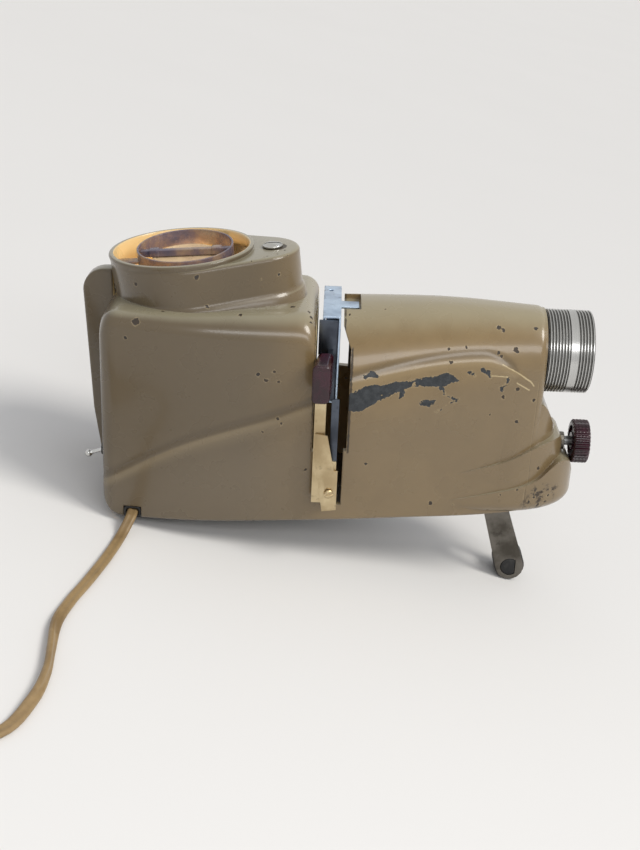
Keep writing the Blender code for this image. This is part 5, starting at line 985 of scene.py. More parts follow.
def slot_wear(paint, x, y, z, streak):
    """Bare metal along the edges of the gate slot, lower on the near side than on the far one."""
    edge_noise = streak * 0.0011 + paint.noise(420, 3) * 0.0014

    def along(edge, wide):
        return paint.band(abs(x - edge) + edge_noise, wide, wide - 0.0004)

    over_sill = z - y.math("GREATER_THAN", 0) * (SLOT_FAR_Z - SLOT_LOW_Z)
    front, rear = [along(edge, wide) * paint.band(over_sill, low, low + 0.001) for edge, wide, low in (
        (SLOT_FRONT_X + 0.0008, 0.0021, SLOT_LOW_Z - 0.002),
        (SLOT_REAR_X - 0.0006, 0.0016, SLOT_LOW_Z - 0.001))]
    shoulder = GATE_TOP_Z - SHOULDER_ROUND
    below_crown = paint.band(z, shoulder + 0.002, shoulder)
    return (front * below_crown).most(rear, along(SLOT_CROWN_X + 0.0008, 0.0018) * (1 - below_crown))


def cream_paint(chips, scrapes, flaked, scratches):
    """Stoved cream paint, chipped down to dark metal, with painted lamplight: warm inside the well and bright
    on the slot's cut faces.
    """
    paint = Finish("cream_paint_worn", 0.30, IOR=1.5, Coat_Roughness=0.12)
    x, y, z = paint.axes(paint.in_housing())
    facing = paint.node("ShaderNodeNewGeometry", out="Normal")
    facing_x, facing_y, up = paint.axes(facing)
    streak = paint.noise(70, 3, 0.6)
    tone = paint_tone_with_painted_light(paint, x, z, up, paint.noise(14, 4, 0.6), streak)
    well_wall = RIM_RADIUS - RIM_WALL
    # painted lamplight: the inside of the chimney's well is coloured warm and bright
    lamplit_well = (paint.band(off_axis(x - CHIMNEY_X, y), well_wall + 0.0014, well_wall + 0.0004)
               * paint.band(z, SHOULDER_TOP - 0.03, SHOULDER_TOP - 0.02)
               * paint.band((x - CHIMNEY_X) * facing_x + y * facing_y, -0.002, -0.008))
    squarely = abs(paint.vector("DOT_PRODUCT", facing, tuple(STANCE.col[0][:3]), out=1))
    # painted lamplight: the slot's cut faces are coloured bright cream
    lamplit_slot_face = (paint.band(squarely, 0.94, 0.98)
               * paint.band(abs(x - (SLOT_FRONT_X + SLOT_REAR_X) / 2), 0.0112, 0.0109))

    outside = paint.nearest(paint.worn_place(700, 0.0022, paint.worn_place(170, 0.0030)), chips)
    rough_place = paint.worn_place(420, 0.0036, paint.worn_place(110, 0.0052))
    beyond = paint.beside(rough_place, scrapes)
    scraped = paint.band(beyond, 0.00015, -0.00015) * (1 - paint.patches(0.665, 0.675, 150, 3, 0.7))
    flakes = (paint.band(paint.nearest(rough_place, flaked), 0.0, -0.006)
              * paint.patches(0.53, 0.56, 210, 4, 0.7))
    dots = paint.node("ShaderNodeTexVoronoi", None, {"Vector": paint.worn_place(900, 0.0016), "Scale": 34.0})
    speckle = paint.band(dots, 0.026, 0.020) * paint.patches(0.56, 0.60, 9, 2)
    under_screw = (paint.band(off_axis(x - EAR_SCREW_X - 0.001, y) + streak * 0.001, 0.0084, 0.0078)
                   * paint.band(z, SHOULDER_TOP + 0.015, SHOULDER_TOP + 0.017))
    slot_edge = slot_wear(paint, x, y, z, streak) * (1 - lamplit_slot_face)
    bare = paint.band(outside, 0.00012, -0.00012).most(
        scraped, speckle, flakes * 0.9, slot_edge * 0.9, under_screw * 0.85)
    rim = paint.band(outside.math("MINIMUM", beyond), 0.0007, 0.0001)
    scratch = paint.band(paint.beside(paint.worn_place(300, 0.0012), scratches), 0.0002, -0.0001)

    rust = paint.mix(paint.patches(0.45, 0.65, 240, 3), shade(58, 48, 38), shade(46, 42, 38))
    metal = paint.mix(paint.patches(0.35, 0.7, 330, 4, 0.7), shade(48, 51, 54), shade(66, 69, 72))
    tone = paint.layered(
        # painted lamplight in the well and on the slot's cut faces
        tone, (lamplit_well, shade(226, 196, 140)), (lamplit_slot_face, shade(236, 214, 160)),
        (rim * 0.30, shade(176, 156, 118)), (scratch * 0.5, shade(226, 206, 160)),
        (bare, paint.mix(scraped, rust, metal)))
    paint.feed("Metallic", scraped * 0.30)
    paint.feed("Coat Weight", (1 - bare) * 0.45)
    cast_edge = paint.node("ShaderNodeBevel", {"samples": 4}, {"Radius": 0.0013})
    peel = paint.noise(260, 2) * 0.12 + paint.noise(900, 2) * 0.05
    return paint.covered(tone, bare * 0.28 + paint.noise(55, 3) * 0.12 + 0.22,
                         peel - bare * 1.2, 0.00025, 0.55, cast_edge)


def bare_metal(name, colour, dull, rough, stain):
    """Sheet metal with fine scratches, handling marks and dull patches."""
    metal = Finish(name, rough, 1.0)
    scratch = metal.noise(260, 4, 0.65)
    cloud = metal.noise(45, 4, 0.6)
    spots = metal.patches(0.60, 0.70, 210, 3, 0.6)
    tone = metal.mix(metal.band(cloud, 0.38, 0.66), colour, dull)
    return metal.covered(
        metal.mix(spots * stain, tone, tuple(c * 0.35 for c in dull)),
        metal.band(cloud, 0.3, 0.7) * 0.14 + scratch * 0.16 + (rough - 0.12), scratch + spots * 0.3, 0.00012)


def turned_aluminium():
    """Bright turned aluminium with tool marks round its axis, and painted shade in its grooves."""
    metal = Finish("turned_aluminium", 0.26, 1.0)
    x, y, z = metal.axes(metal.in_housing())
    radius = off_axis(y, z - AXIS_Z)
    rings = metal.noise(1, 3, 0.6, metal.joined(x * 2600, radius * 900))
    cloud = metal.noise(60, 3)
    # painted shade: the grooves between the ribs are darkened
    groove_shade_mask = (metal.band(radius, BARREL_RADIUS - 0.0003, BARREL_ROOT + 0.0002)
              * metal.band(x, BARREL_REAR_X - 0.001, BARREL_REAR_X))
    tone = metal.mix(rings, shade(176, 176, 174), shade(214, 214, 212))
    return metal.covered(metal.mix(groove_shade_mask * 0.75 + cloud * 0.1, tone, shade(66, 64, 60)),
                         rings * 0.12 + cloud * 0.10 + groove_shade_mask * 0.2 + 0.14, rings, 0.00006)


def bakelite():
    """Moulded maroon bakelite, swirled and slightly worn."""
    plastic = Finish("maroon_moulding", 0.28, IOR=1.55)
    swirl = plastic.noise(95, 4, 0.65, plastic.worn_place(40, 0.02))
    dust = plastic.patches(0.58, 0.75, 330, 3, 0.7)
    tone = plastic.mix(plastic.band(swirl, 0.40, 0.72), shade(38, 10, 22), shade(60, 15, 35))
    return plastic.covered(plastic.mix(dust * 0.10, tone, shade(110, 70, 88)),
                           swirl * 0.18 + dust * 0.2 + 0.16, swirl * 0.4 + dust * 0.2, 0.0001, 0.4)


def rubber():
    """Moulded rubber with a dusty bloom."""
    made = Finish("worn_rubber", 0.7)
    bloom = made.noise(150, 4, 0.7)
    return made.covered(made.mix(made.band(bloom, 0.45, 0.75), shade(26, 26, 27), shade(62, 60, 57)),
                        bloom * 0.3 + 0.5, bloom + made.noise(900, 2) * 0.4, 0.0002)


def clear_glass():
    """Coated optical glass with a trace of dust."""
    made = Finish("coated_glass", 0.04, IOR=1.52, Transmission_Weight=1.0)
    dust = made.patches(0.55, 0.8, 420, 3, 0.7)
    return made.covered(made.mix(dust, (0.86, 0.90, 0.93), (0.72, 0.72, 0.70)),
                        dust * 0.25 + 0.02, dust, 0.00002, 0.3)


def lit_lamp():
    """The lamp's frosted glass, alight, warmest at its middle."""
    lamp = Finish("lit_lamp_glass", 0.25, Emission_Strength=4.0)
    _, _, z = lamp.axes(lamp.in_housing())
    centre = lamp.band(abs(z - AXIS_Z) + lamp.noise(60, 2) * 0.006, 0.040, 0.004)
    lamp.feed("Base Color", lamp.mix(centre, (0.9, 0.85, 0.75), (1.0, 0.9, 0.7)))
    lamp.feed("Emission Color", lamp.mix(centre, (0.90, 0.58, 0.28), (1.0, 0.80, 0.52)))
    return lamp.material


def ceramic():
    """Glazed ceramic, a little stained."""
    made = Finish("glazed_ceramic", 0.35)
    cloud = made.noise(120, 4)
    return made.covered(made.mix(made.band(cloud, 0.4, 0.7), shade(226, 219, 204), shade(196, 184, 160)),
                        cloud * 0.25 + 0.22, cloud, 0.0001, 0.3)


def cord_vinyl():
    """Aged cream vinyl, grimy in patches, following the cord's own map."""
    made = Finish("aged_cord_vinyl", 0.42)
    u, v, _ = made.axes(made.node("ShaderNodeUVMap", {"uv_map": "cord"}))
    grime = made.noise(38, 4, 0.65)
    scuff = made.noise(1, 4, 0.7, made.joined(u * 900, v * 5))
    tone = made.mix(made.band(grime, 0.36, 0.68), shade(154, 129, 91), shade(126, 104, 72))
    return made.covered(made.mix(made.band(scuff, 0.58, 0.8) * 0.5, tone, shade(104, 86, 62)),
                        grime * 0.2 + scuff * 0.12 + 0.28, scuff * 0.6 + grime * 0.5, 0.0001)


def tinted_steel():
    """Steel blued and browned by the lamp's heat."""
    made = Finish("heat_tinted_steel", 0.34, 0.2)
    cloud = made.noise(48, 4, 0.6)
    tone = made.node("ShaderNodeValToRGB", {"stops": (
        (0.30, shade(168, 152, 132)), (0.45, shade(150, 128, 112)), (0.56, shade(118, 104, 110)),
        (0.70, shade(92, 90, 108)))}, {"Fac": cloud})
    soot = made.patches(0.52, 0.72, 130, 4, 0.7)
    return made.covered(made.mix(soot * 0.35, tone, shade(66, 58, 58)),
                        soot * 0.3 + cloud * 0.1 + 0.2, soot, 0.0001, 0.4)


def dusty_disc():
    """The disc over the lamp: dull metal under dust, its peach colour partly painted lamplight from round it.
    """
    made = Finish("dusty_disc", 0.6)
    cloud = made.noise(85, 5, 0.7)
    specks = made.patches(0.56, 0.70, 480, 3, 0.7)
    tone = made.mix(made.band(cloud, 0.36, 0.66), shade(206, 176, 140), shade(226, 198, 156))
    return made.covered(made.mix(specks * 0.5, tone, shade(110, 92, 74)),
                        cloud * 0.2 + 0.45, cloud + specks * 0.5, 0.0002, 0.4)


# ---------------------------------------------------------------- cord


def lengths_along(points):
    """The length of the path up to each of its points."""
    return [0, *itertools.accumulate((b - a).length for a, b in zip(points, points[1:]))]


def smooth_route(knots, step, fine=24):
    """Points about a step apart on a smooth curve through the knots."""
    padded = [2 * knots[0] - knots[1]] + knots + [2 * knots[-1] - knots[-2]]
    dense = []
    for a, b, c, d in zip(padded, padded[1:], padded[2:], padded[3:]):
        for i in range(fine):
            t = i / fine
            dense.append((2 * b + (c - a) * t + (2 * a - 5 * b + 4 * c - d) * t**2
                          + (3 * b - a - 3 * c + d) * t**3) / 2)
    dense.append(knots[-1])
    runs = lengths_along(dense)
    points = []
    spot = 0
    for want in spread(0, runs[-1], max(2, round(runs[-1] / step))):
        while spot < len(dense) - 2 and runs[spot + 1] < want:
            spot += 1
        share = (want - runs[spot]) / (runs[spot + 1] - runs[spot])
        points.append(dense[spot].lerp(dense[spot + 1], min(1, share)))
    return points


def cord_route():
    """Out of the grommet, down to the floor and over it, then wound in a coil of two layers."""
    wall_y = foot_half_width(OUTLET_X)
    inside = [STANCE @ Vector((OUTLET_X, y, OUTLET_HEIGHT / 2))
              for y in (CORD_INNER_Y, -wall_y, -wall_y - CORD_STRAIGHT)]
    lying = [Vector((x, y, CORD_THICK / 2 + GAP)) for x, y in CORD_ROUTE]
    run = smooth_route(inside + lying, CORD_STEP)
    heading = (run[-1] - run[-2]).normalized()
    start = run[-1] + heading * (GAP + 2 * CAD_CORD_RADIUS)
    centre = start + Vector((heading.y, -heading.x, 0)) * COIL_RADIUS
    first = math.atan2(start.y - centre.y, start.x - centre.x)
    half, climb = round(COIL_LOOPS * COIL_STEPS), COIL_STEPS // 2
    inner = COIL_RADIUS - COIL_PITCH * COIL_LOOPS
    coil = []
    for i in range(2 * half + climb + 1):
        if i <= half:
            radius, rise = COIL_RADIUS - COIL_PITCH * i / COIL_STEPS, 0
        elif i <= half + climb:
            radius, rise = inner, COIL_RISE * eased_share((i - half) / climb)
        else:
            share = max(0, (i - 2 * half) / climb)
            radius = inner + COIL_PITCH * (i - half - climb) / COIL_STEPS + COIL_EXIT * share * share
            rise = COIL_RISE + (PLUG_RISE - COIL_RISE) * share * share
        angle = first - 2 * math.pi * i / COIL_STEPS
        coil.append(centre + Vector((radius * math.cos(angle), radius * math.sin(angle), rise)))
    leaving = (coil[-1] - coil[-2]).normalized()
    return run + coil + [coil[-1] + leaving * 2 * CAD_CORD_RADIUS]


def twin_outline():
    """Section of the flat twin: two round cores side by side with a web between them."""
    core = CORD_THICK / 2
    offset = CORD_WIDTH / 2 - core
    web = math.degrees(math.acos((offset - CORD_WEB) / core)) + CORD_WEB_ANGLE
    right = arc(offset, 0, core, -180 + web, 180 - web, 20)
    return right + [(-u, -v) for u, v in right]


def flat_twin(points, name):
    """A tube of the twin's section, lying flat but for one lazy turn on its edge."""
    runs = lengths_along(points)
    outline = twin_outline()
    rings, path = [], []
    for i, point in enumerate(points):
        ahead = points[min(i + 1, len(points) - 1)] - points[max(i - 1, 0)]
        ahead.normalize()
        side = Vector((ahead.y, -ahead.x, 0)).normalized()
        up = side.cross(ahead)
        turn = TWIST * max(0, 1 - ((runs[i] - TWIST_AT) / TWIST_REACH) ** 2) ** 2
        centre = point + Vector((0, 0, (CORD_WIDTH - CORD_THICK) / 2 * math.sin(turn)))
        across = side * math.cos(turn) + up * math.sin(turn)
        above = up * math.cos(turn) - side * math.sin(turn)
        rings.append([centre + across * u + above * v for u, v in outline])
        path.append(centre)
    obj = loft(rings, name)
    layer = obj.data.uv_layers.new(name="cord")
    count = len(outline)
    for polygon in obj.data.polygons:
        for loop, vertex in zip(polygon.loop_indices, polygon.vertices):
            layer.data[loop].uv = (runs[vertex // count], (vertex % count) / count)
    return obj, path, runs[-1]


# ---------------------------------------------------------------- ribbed barrel and knurled knob


def geometry_graph(name, numbers):
    """A geometry tree that takes numbers by name and a surface, and its inputs by name."""
    tree = bpy.data.node_groups.new(name, "GeometryNodeTree")
    for number in numbers:
        tree.interface.new_socket(number, in_out="INPUT", socket_type="NodeSocketFloat")
    tree.interface.new_socket("Surface", in_out="INPUT", socket_type="NodeSocketMaterial")
    tree.interface.new_socket("Geometry", in_out="OUTPUT", socket_type="NodeSocketGeometry")
    graph = Graph(tree)
    entry = graph.node("NodeGroupInput", out=None)
    return graph, {s.name: Wire(graph, s) for s in entry.outputs if s.name}


def wrapped_grid(graph, along, around):
    """A grid to be wrapped round an axis: its mesh, its share along and its angle."""
    grid = graph.node("GeometryNodeMeshGrid", None, {
        "Size X": 1.0, "Size Y": 1.0, "Vertices X": along, "Vertices Y": around})
    u, v, _ = graph.axes(graph.node("GeometryNodeInputPosition"))
    return grid, u + 0.5, (v + 0.5) * (2 * math.pi)


def finish_graph(graph, mesh, x, radius, angle, given):
    """Bend the grid round its axis, close its seam and give it its surface."""
    place = graph.joined(x, radius * angle.math("COSINE"), radius * angle.math("SINE") + given["Axis Height"])
    moved = graph.node("GeometryNodeSetPosition", None, {"Geometry": mesh, "Position": place})
    merged = graph.node("GeometryNodeMergeByDistance", None, {"Geometry": moved, "Distance": SEAM_WELD})
    coloured = graph.node("GeometryNodeSetMaterial", None, {"Geometry": merged, "Material": given["Surface"]})
    end = graph.node("NodeGroupOutput", out=None)
    graph.tree.links.new(coloured.socket, end.inputs[0])
    return graph.tree


def grown(tree, name, values, surface):
    """Run a geometry tree with named sizes, and keep its plain mesh."""
    obj = added(name, bpy.data.meshes.new(name))
    step = obj.modifiers.new("shape", "NODES")
    step.node_group = tree
    for item in tree.interface.items_tree:
        if item.in_out == "INPUT":
            step[item.identifier] = surface if item.name == "Surface" else values[item.name]
    return baked(obj)


def rib_tree(names):
    """Turned ribs of one pitch, interrupted by a plain band."""
    graph, given = geometry_graph("barrel_ribs", names)
    mesh, share, angle = wrapped_grid(graph, RIB_STEPS * RIBS + 1, ROUND_STEPS + 1)
    x = given["Start"] + (given["End"] - given["Start"]) * share
    phase = ((x - given["Start"]) / given["Pitch"]).math("FRACT")
    rib = ((RIB_HALF - abs(phase - 0.5)) * RIB_SLOPE).between(0, 1)
    plain = x.math("GREATER_THAN", given["Band Start"]) * x.math("LESS_THAN", given["Band End"])
    radius = given["Root Radius"] + (given["Land Radius"] - given["Root Radius"]) * rib.most(plain)
    return finish_graph(graph, mesh, x, radius, angle, given)


def knurl_tree(names):
    """A knurled rim: rounded teeth, drawn in at both edges."""
    graph, given = geometry_graph("knob_knurl", names)
    mesh, share, angle = wrapped_grid(graph, *KNURL_STEPS)
    x = given["Start"] + given["Width"] * share
    tooth = ((angle * given["Teeth"]).math("COSINE") * 1.6).between(-1, 1) * 0.5 + 0.5
    from_edge = (share.math("MINIMUM", 1 - share) * given["Width"] / given["Edge"]).math("MINIMUM", 1)
    drawn_in = given["Edge"] * (1 - (1 - (1 - from_edge) * (1 - from_edge)).math("SQRT"))
    cross = ((x - given["Start"]) * (2 * math.pi / KNURL_CROSS_PITCH)).math("COSINE") * KNURL_CROSS
    radius = given["Radius"] - given["Depth"] * (1 - tooth + cross * tooth) - drawn_in
    return finish_graph(graph, mesh, x, radius, angle, given)


def merged(name, *objects):
    """Several meshes as one closed piece."""
    bm = bmesh.new()
    for obj in objects:
        bm.from_mesh(obj.data)
        bpy.data.objects.remove(obj, do_unlink=True)
    bmesh.ops.remove_doubles(bm, verts=bm.verts, dist=RING_WELD)
    return object_of(outward(bm), name)


# ---------------------------------------------------------------- pieces


def make_cord(vinyl, black, blade):
    """The flat twin, with the plug and its blades at its far end."""
    obj, path, length = flat_twin(cord_route(), "flat_cord")
    dressed(obj, vinyl, "cream_cord", "root", "cord", "cord_coil")
    plug = refined("plug", black, "black_rubber", 0.0012, 4)
    pins = [refined(pin, blade, "brass") for pin in ("plug_pin_left", "plug_pin_right")]
    leaving = STANCE @ Vector((OUTLET_X, -foot_half_width(OUTLET_X), OUTLET_HEIGHT / 2))


def make_baffle(steel, disc_finish):
    """The hoop with its arms, the crossbar with its two end lugs, and the disc under it."""
    centre_x = HOOP_X + HOOP_HEIGHT * math.sin(CHIMNEY_LEAN)
    foot = RIM_Z + lean_height(HOOP_X) + HOOP_RISE - HOOP_HEIGHT
    top = foot + HOOP_HEIGHT
    centre = (centre_x, 0, foot)
    band = tube(foot, top, HOOP_RADIUS, HOOP_RADIUS - HOOP_SHEET, centre, along_z, "baffle_band_made",
                edge=0.0004)
    well, offset = RIM_RADIUS - RIM_WALL, CHIMNEY_X - centre_x
    for degrees in ARM_ANGLES:
        angle = math.radians(degrees)
        reach = (offset * math.cos(angle)
                 + math.sqrt(well**2 - (offset * math.sin(angle)) ** 2 - ARM_HALF**2) - ARM_CLEAR)
        arm = soften(box((HOOP_RADIUS - HOOP_SHEET / 2, -ARM_HALF, foot),
                         (reach, ARM_HALF, foot + HOOP_SHEET), "arm"), FINE_EDGE)
        arm.data.transform(Matrix.Translation(Vector((centre_x, 0, 0))) @ Matrix.Rotation(angle, 4, "Z"))
        join(band, arm)
    bar_top = top - BAR_DROP
    bar_foot = bar_top - BAR_HEIGHT
    reach = HOOP_RADIUS - HOOP_SHEET - 2 * GAP
    bar = soften(box((centre_x - reach, -BAR_HALF, bar_foot), (centre_x + reach, BAR_HALF, bar_top),
                     "baffle_crossbar_made"), 0.0004)
    for side in (-1, 1):
        at = centre_x + side * (reach - LUG_FROM_END)
        join(bar, soften(box((at - LUG_LENGTH / 2, -LUG_HALF, bar_foot + LUG_FOOT),
                             (at + LUG_LENGTH / 2, LUG_HALF, bar_top + LUG_RISE), "lug"), 0.0005))
    disc_top = bar_foot - GAP
    hollow, hollow_radius = disc_top - DISC_HOLLOW, DISC_RADIUS - DISC_LIP
    profile = [(disc_top - DISC_SHEET, 0), (disc_top - DISC_SHEET, DISC_RADIUS), (disc_top, DISC_RADIUS),
               (disc_top, hollow_radius), (hollow, hollow_radius - DISC_SLOPE), (hollow, 0)]
    disc = turned(profile, centre, along_z, "baffle_disc_made", edge=0.0002)
    place = Matrix.Translation(Vector(centre))
    turn = Matrix.Rotation(-CHIMNEY_LEAN, 4, "Y") @ Matrix.Rotation(HOOP_TIP, 4, "X")
    for obj, node, surface in ((band, "baffle_band", steel), (bar, "baffle_crossbar", steel),
                               (disc, "baffle_disc", disc_finish)):
        obj.data.transform(STANCE @ place @ turn @ place.inverted())
        dressed(obj, surface, "steel", "baffle", node)


def make_chimney_screw(chrome):
    """The domed, slotted screw on the chimney's ear."""
    top = ear_top_z() + GAP
    rim, shoulder = top + EAR_SCREW_HEAD, top + EAR_SCREW_HEAD / 2
    profile = [(top - EAR_SCREW_LENGTH, 0), (top - EAR_SCREW_LENGTH, EAR_SCREW_SHANK), (top, EAR_SCREW_SHANK),
               (top, EAR_SCREW_RADIUS), (shoulder, EAR_SCREW_RADIUS),
               (rim - 0.0003, EAR_SCREW_RADIUS * 0.62), (rim, 0)]
    screw = turned(profile, (EAR_SCREW_X, 0, 0), along_z, "chimney_screw_made", 64, 0.0005)
    cut(screw, box((EAR_SCREW_X - 2 * EAR_SCREW_RADIUS, -EAR_SCREW_SLOT / 2, shoulder),
                   (EAR_SCREW_X + 2 * EAR_SCREW_RADIUS, EAR_SCREW_SLOT / 2, top + 2 * EAR_SCREW_HEAD), "slot"))
    lean(screw, (EAR_SCREW_X, 0, ear_top_z()))
    dressed(stand(screw), chrome, "chrome", "ear_screw", "chimney_screw")


def make_barrel(aluminium):
    """The ribbed focusing barrel: grown ribs outside, a turned bore and tail inside."""
    values = {"Start": BARREL_REAR_X, "End": BARREL_FRONT_X, "Land Radius": BARREL_RADIUS,
              "Root Radius": BARREL_ROOT, "Pitch": (BARREL_FRONT_X - BARREL_REAR_X) / RIBS,
              "Band Start": BAND_START_X, "Band End": BAND_START_X + BAND_WIDTH, "Axis Height": AXIS_Z}
    ribs = grown(rib_tree(values), "ribs", values, aluminium)
    inside = [(BARREL_FRONT_X, BARREL_ROOT), (BARREL_FRONT_X, BARREL_BORE + BORE_BEVEL),
              (BARREL_FRONT_X - BORE_BEVEL, BARREL_BORE), (BARREL_TAIL_X, BARREL_BORE),
              (BARREL_TAIL_X, BARREL_TAIL_RADIUS), (BARREL_REAR_X, BARREL_TAIL_RADIUS),
              (BARREL_REAR_X, BARREL_ROOT)]
    rest = turned(inside, LENS_AXIS, along_x, "inside", closed=False)
    barrel = stand(merged("lens_barrel_made", ribs, rest))
    dressed(barrel, aluminium, "aluminium", "focus_barrel", "lens_barrel")


def make_lens(aluminium, glass):
    """The cell, its front glass and the ring that holds it."""
    outer, bore = BARREL_BORE - RUNNING_GAP, GLASS_RADIUS + GAP
    front_seat, rear_seat = FRONT_GLASS_X - GAP, REAR_GLASS_X - GAP
    cell = [(CELL_REAR_X, CELL_SEAT), (CELL_REAR_X, outer), (CELL_FRONT_X, outer), (CELL_FRONT_X, bore),
            (front_seat, bore), (front_seat, CELL_SEAT), (REAR_GLASS_X + REAR_ROOM, CELL_SEAT),
            (REAR_GLASS_X + REAR_ROOM, bore), (rear_seat, bore), (rear_seat, CELL_SEAT)]
    lathed("lens_cell", cell, LENS_AXIS, along_x, aluminium, "aluminium", 0.0004)
    edge = FRONT_GLASS_X + GLASS_EDGE
    dome = [(edge + GLASS_DOME * (1 - s * s), GLASS_RADIUS * s) for s in spread(0, 1, 10)]
    lathed("lens_element_front", dome + [(FRONT_GLASS_X, GLASS_RADIUS), (FRONT_GLASS_X, 0)], LENS_AXIS, along_x,
           glass, "optical_glass", 0.0)
    low, high = edge + GAP, edge + GAP + HOLDING_RING
    ring = [(low, CELL_SEAT), (low, GLASS_RADIUS), (high, GLASS_RADIUS), (high, HOLDING_RING_LIP)]
    lathed("retaining_ring", ring, LENS_AXIS, along_x, aluminium, "aluminium")


def make_knob(maroon, steel):
    """The knurled elevation knob and the shaft through it."""
    values = {"Start": KNOB_REAR_X, "Width": KNOB_WIDTH, "Radius": KNOB_RADIUS, "Depth": KNURL_DEPTH,
              "Teeth": KNURL_TEETH, "Edge": KNURL_EDGE, "Axis Height": LIFT_Z}
    knob = grown(knurl_tree(values), "elevation_knob_made", values, maroon)
    with edited(knob.data) as bm:
        bmesh.ops.holes_fill(bm, edges=bm.edges)
        outward(bm)
    end = KNOB_REAR_X + KNOB_WIDTH
    before, behind = end + OVERRUN, KNOB_REAR_X - OVERRUN
    hollow_rim, dish_rim = KNOB_RADIUS - HOLLOW_RIM, KNOB_RADIUS - DISH_RIM
    cut(knob, tube(end - HOLLOW_DEPTH, before, hollow_rim, HOLLOW_BOSS, LIFT_AXIS, along_x, "hollow", 64),
        tube(behind, KNOB_REAR_X + DISH_DEPTH, dish_rim, DISH_BOSS, LIFT_AXIS, along_x, "dish", 64),
        rod(behind, before, SHAFT_RADIUS + GAP, LIFT_AXIS, along_x, "bore", 32))
    dressed(stand(smoothed(knob, 40)), maroon, "maroon_bakelite", "lift_screw", "elevation_knob")
    collar = BUSH_REAR_X - GAP
    shaft_end, collar_rear = end - SHAFT_SHORT, collar - COLLAR_LENGTH
    shaft = [(SHAFT_REAR_X, 0), (SHAFT_REAR_X, SHAFT_RADIUS), (collar_rear, SHAFT_RADIUS),
             (collar_rear, COLLAR_RADIUS), (collar, COLLAR_RADIUS), (collar, SHAFT_RADIUS),
             (shaft_end, SHAFT_RADIUS), (shaft_end, 0)]
    lathed("elevation_screw", shaft, LIFT_AXIS, along_x, steel, "steel", FINE_EDGE, 48)


def make_handle(maroon):
    """The slide carrier's handle: a thick moulded block with rounded edges and corners."""
    start = HANDLE_NEAR_Y + HANDLE_EDGE
    places = [(HANDLE_NEAR_Y + HANDLE_EDGE * (1 - math.cos(turn)), HANDLE_EDGE * (1 - math.sin(turn)))
              for turn in spread(0, math.pi / 2, 6)] + [(y, 0) for y in spread(start, HANDLE_FAR_Y, 7)[1:]]
    rings = []
    for y, inset in places:
        run = (y - HANDLE_NEAR_Y) / (HANDLE_FAR_Y - HANDLE_NEAR_Y)
        x, half = (near + (far - near) * run for near, far in (HANDLE_X, HANDLE_HALF))
        outline = rounded(x - half + inset, x + half - inset, HANDLE_FOOT + inset, HANDLE_TOP - inset,
                          HANDLE_CORNER - inset, 8)
        rings.append([Vector((u, y, v)) for u, v in outline])
    dressed(stand(loft(rings, "carrier_handle_made")), maroon, "maroon_bakelite", "changer", "carrier_handle")


def make_strap_edge(steel):
    """The narrow steel strip that stands on the strap's foot, beside the handle."""
    strip = soften(box(STRIP_LOW, STRIP_HIGH, "strap_edge_made"), FINE_EDGE, 2)
    dressed(stand(strip), steel, "steel", "changer")


def make_switch_lever(chrome):
    """The toggle with its ball end, on a pin across its foot."""
    ball = [(-LEVER_LENGTH - LEVER_BALL * math.cos(math.radians(a)), LEVER_BALL * math.sin(math.radians(a)))
            for a in range(0, 150, 15)]
    profile = [(-LEVER_LENGTH - LEVER_BALL, 0), *ball[1:], (-LEVER_LENGTH * 0.75, LEVER_NECK),
               (-LEVER_PIN, LEVER_NECK), (LEVER_PIN * 2, LEVER_NECK), (LEVER_PIN * 2, 0)]
    lever = turned(profile, (0, 0, 0), along_x, "switch_lever_made", 40)
    join(lever, rod(-LEVER_PIN_HALF, LEVER_PIN_HALF, LEVER_PIN, (0, 0, 0), along_y, "pin", 20))
    pivot = Vector((REAR_X - LEVER_OUT, SWITCH_Y, SWITCH_Z))
    lever.data.transform(Matrix.Translation(pivot) @ Matrix.Rotation(LEVER_REST, 4, "Y"))
    dressed(stand(lever), chrome, "chrome", "switch", "switch_lever")


def make_lamp(lit, china, brass):
    """The tubular lamp, its cap and the ceramic socket."""
    bulb = [(LAMP_FOOT, 0), (LAMP_FOOT, LAMP_RADIUS * 0.62),
            (LAMP_FOOT + LAMP_RADIUS * 0.15, LAMP_RADIUS * 0.86), (LAMP_FOOT + LAMP_RADIUS * 0.45, LAMP_RADIUS)]
    bulb += [(LAMP_TOP - LAMP_RADIUS + z, r) for r, z in arc(0, 0, LAMP_RADIUS, 0, 90, 12)[:-1]]
    bulb += [(LAMP_TOP, 0)]
    cap = [(CAP_FOOT, 0), (CAP_FOOT, CAP_RADIUS), (LAMP_FOOT - GAP, CAP_RADIUS), (LAMP_FOOT - GAP, 0)]
    flange_top, bore, floor = SOCKET_FOOT + FLANGE_THICK, CAP_RADIUS + GAP, CAP_FOOT - GAP
    socket = [(SOCKET_FOOT, 0), (SOCKET_FOOT, SOCKET_FLANGE), (flange_top, SOCKET_FLANGE),
              (flange_top, SOCKET_RADIUS), (SOCKET_TOP, SOCKET_RADIUS), (SOCKET_TOP, bore), (floor, bore),
              (floor, 0)]
    for node, profile, surface, slot, edge in (
            ("lamp_bulb", bulb, lit, "optical_glass", 0.0), ("lamp_base", cap, brass, "brass", 0.0006),
            ("lamp_socket", socket, china, "ceramic", 0.0008)):
        lathed(node, profile, (CHIMNEY_X, 0, 0), along_z, surface, slot, edge, 64)


def make_feet(black):
    """The two rear feet, pressed up into the base."""
    profile = [(FOOT_LOW, 0), (FOOT_LOW, FOOT_TIP_RADIUS), (FOOT_BEVEL_Z, FOOT_RADIUS),
               (FOOT_HIGH, FOOT_RADIUS), (FOOT_HIGH, 0)]
    for node, y in (("rear_foot_left", -FOOT_Y), ("rear_foot_right", FOOT_Y)):
        lathed(node, profile, (FOOT_X, y, 0), along_z, black, "black_rubber", 0.0004, 48)


# ---------------------------------------------------------------- studio


def aimed(name, light, towards):
    """A lamp that shines in a direction."""
    lamp = added(name, light)
    lamp.rotation_euler = towards.to_track_quat("-Z", "Y").to_euler()
    return lamp


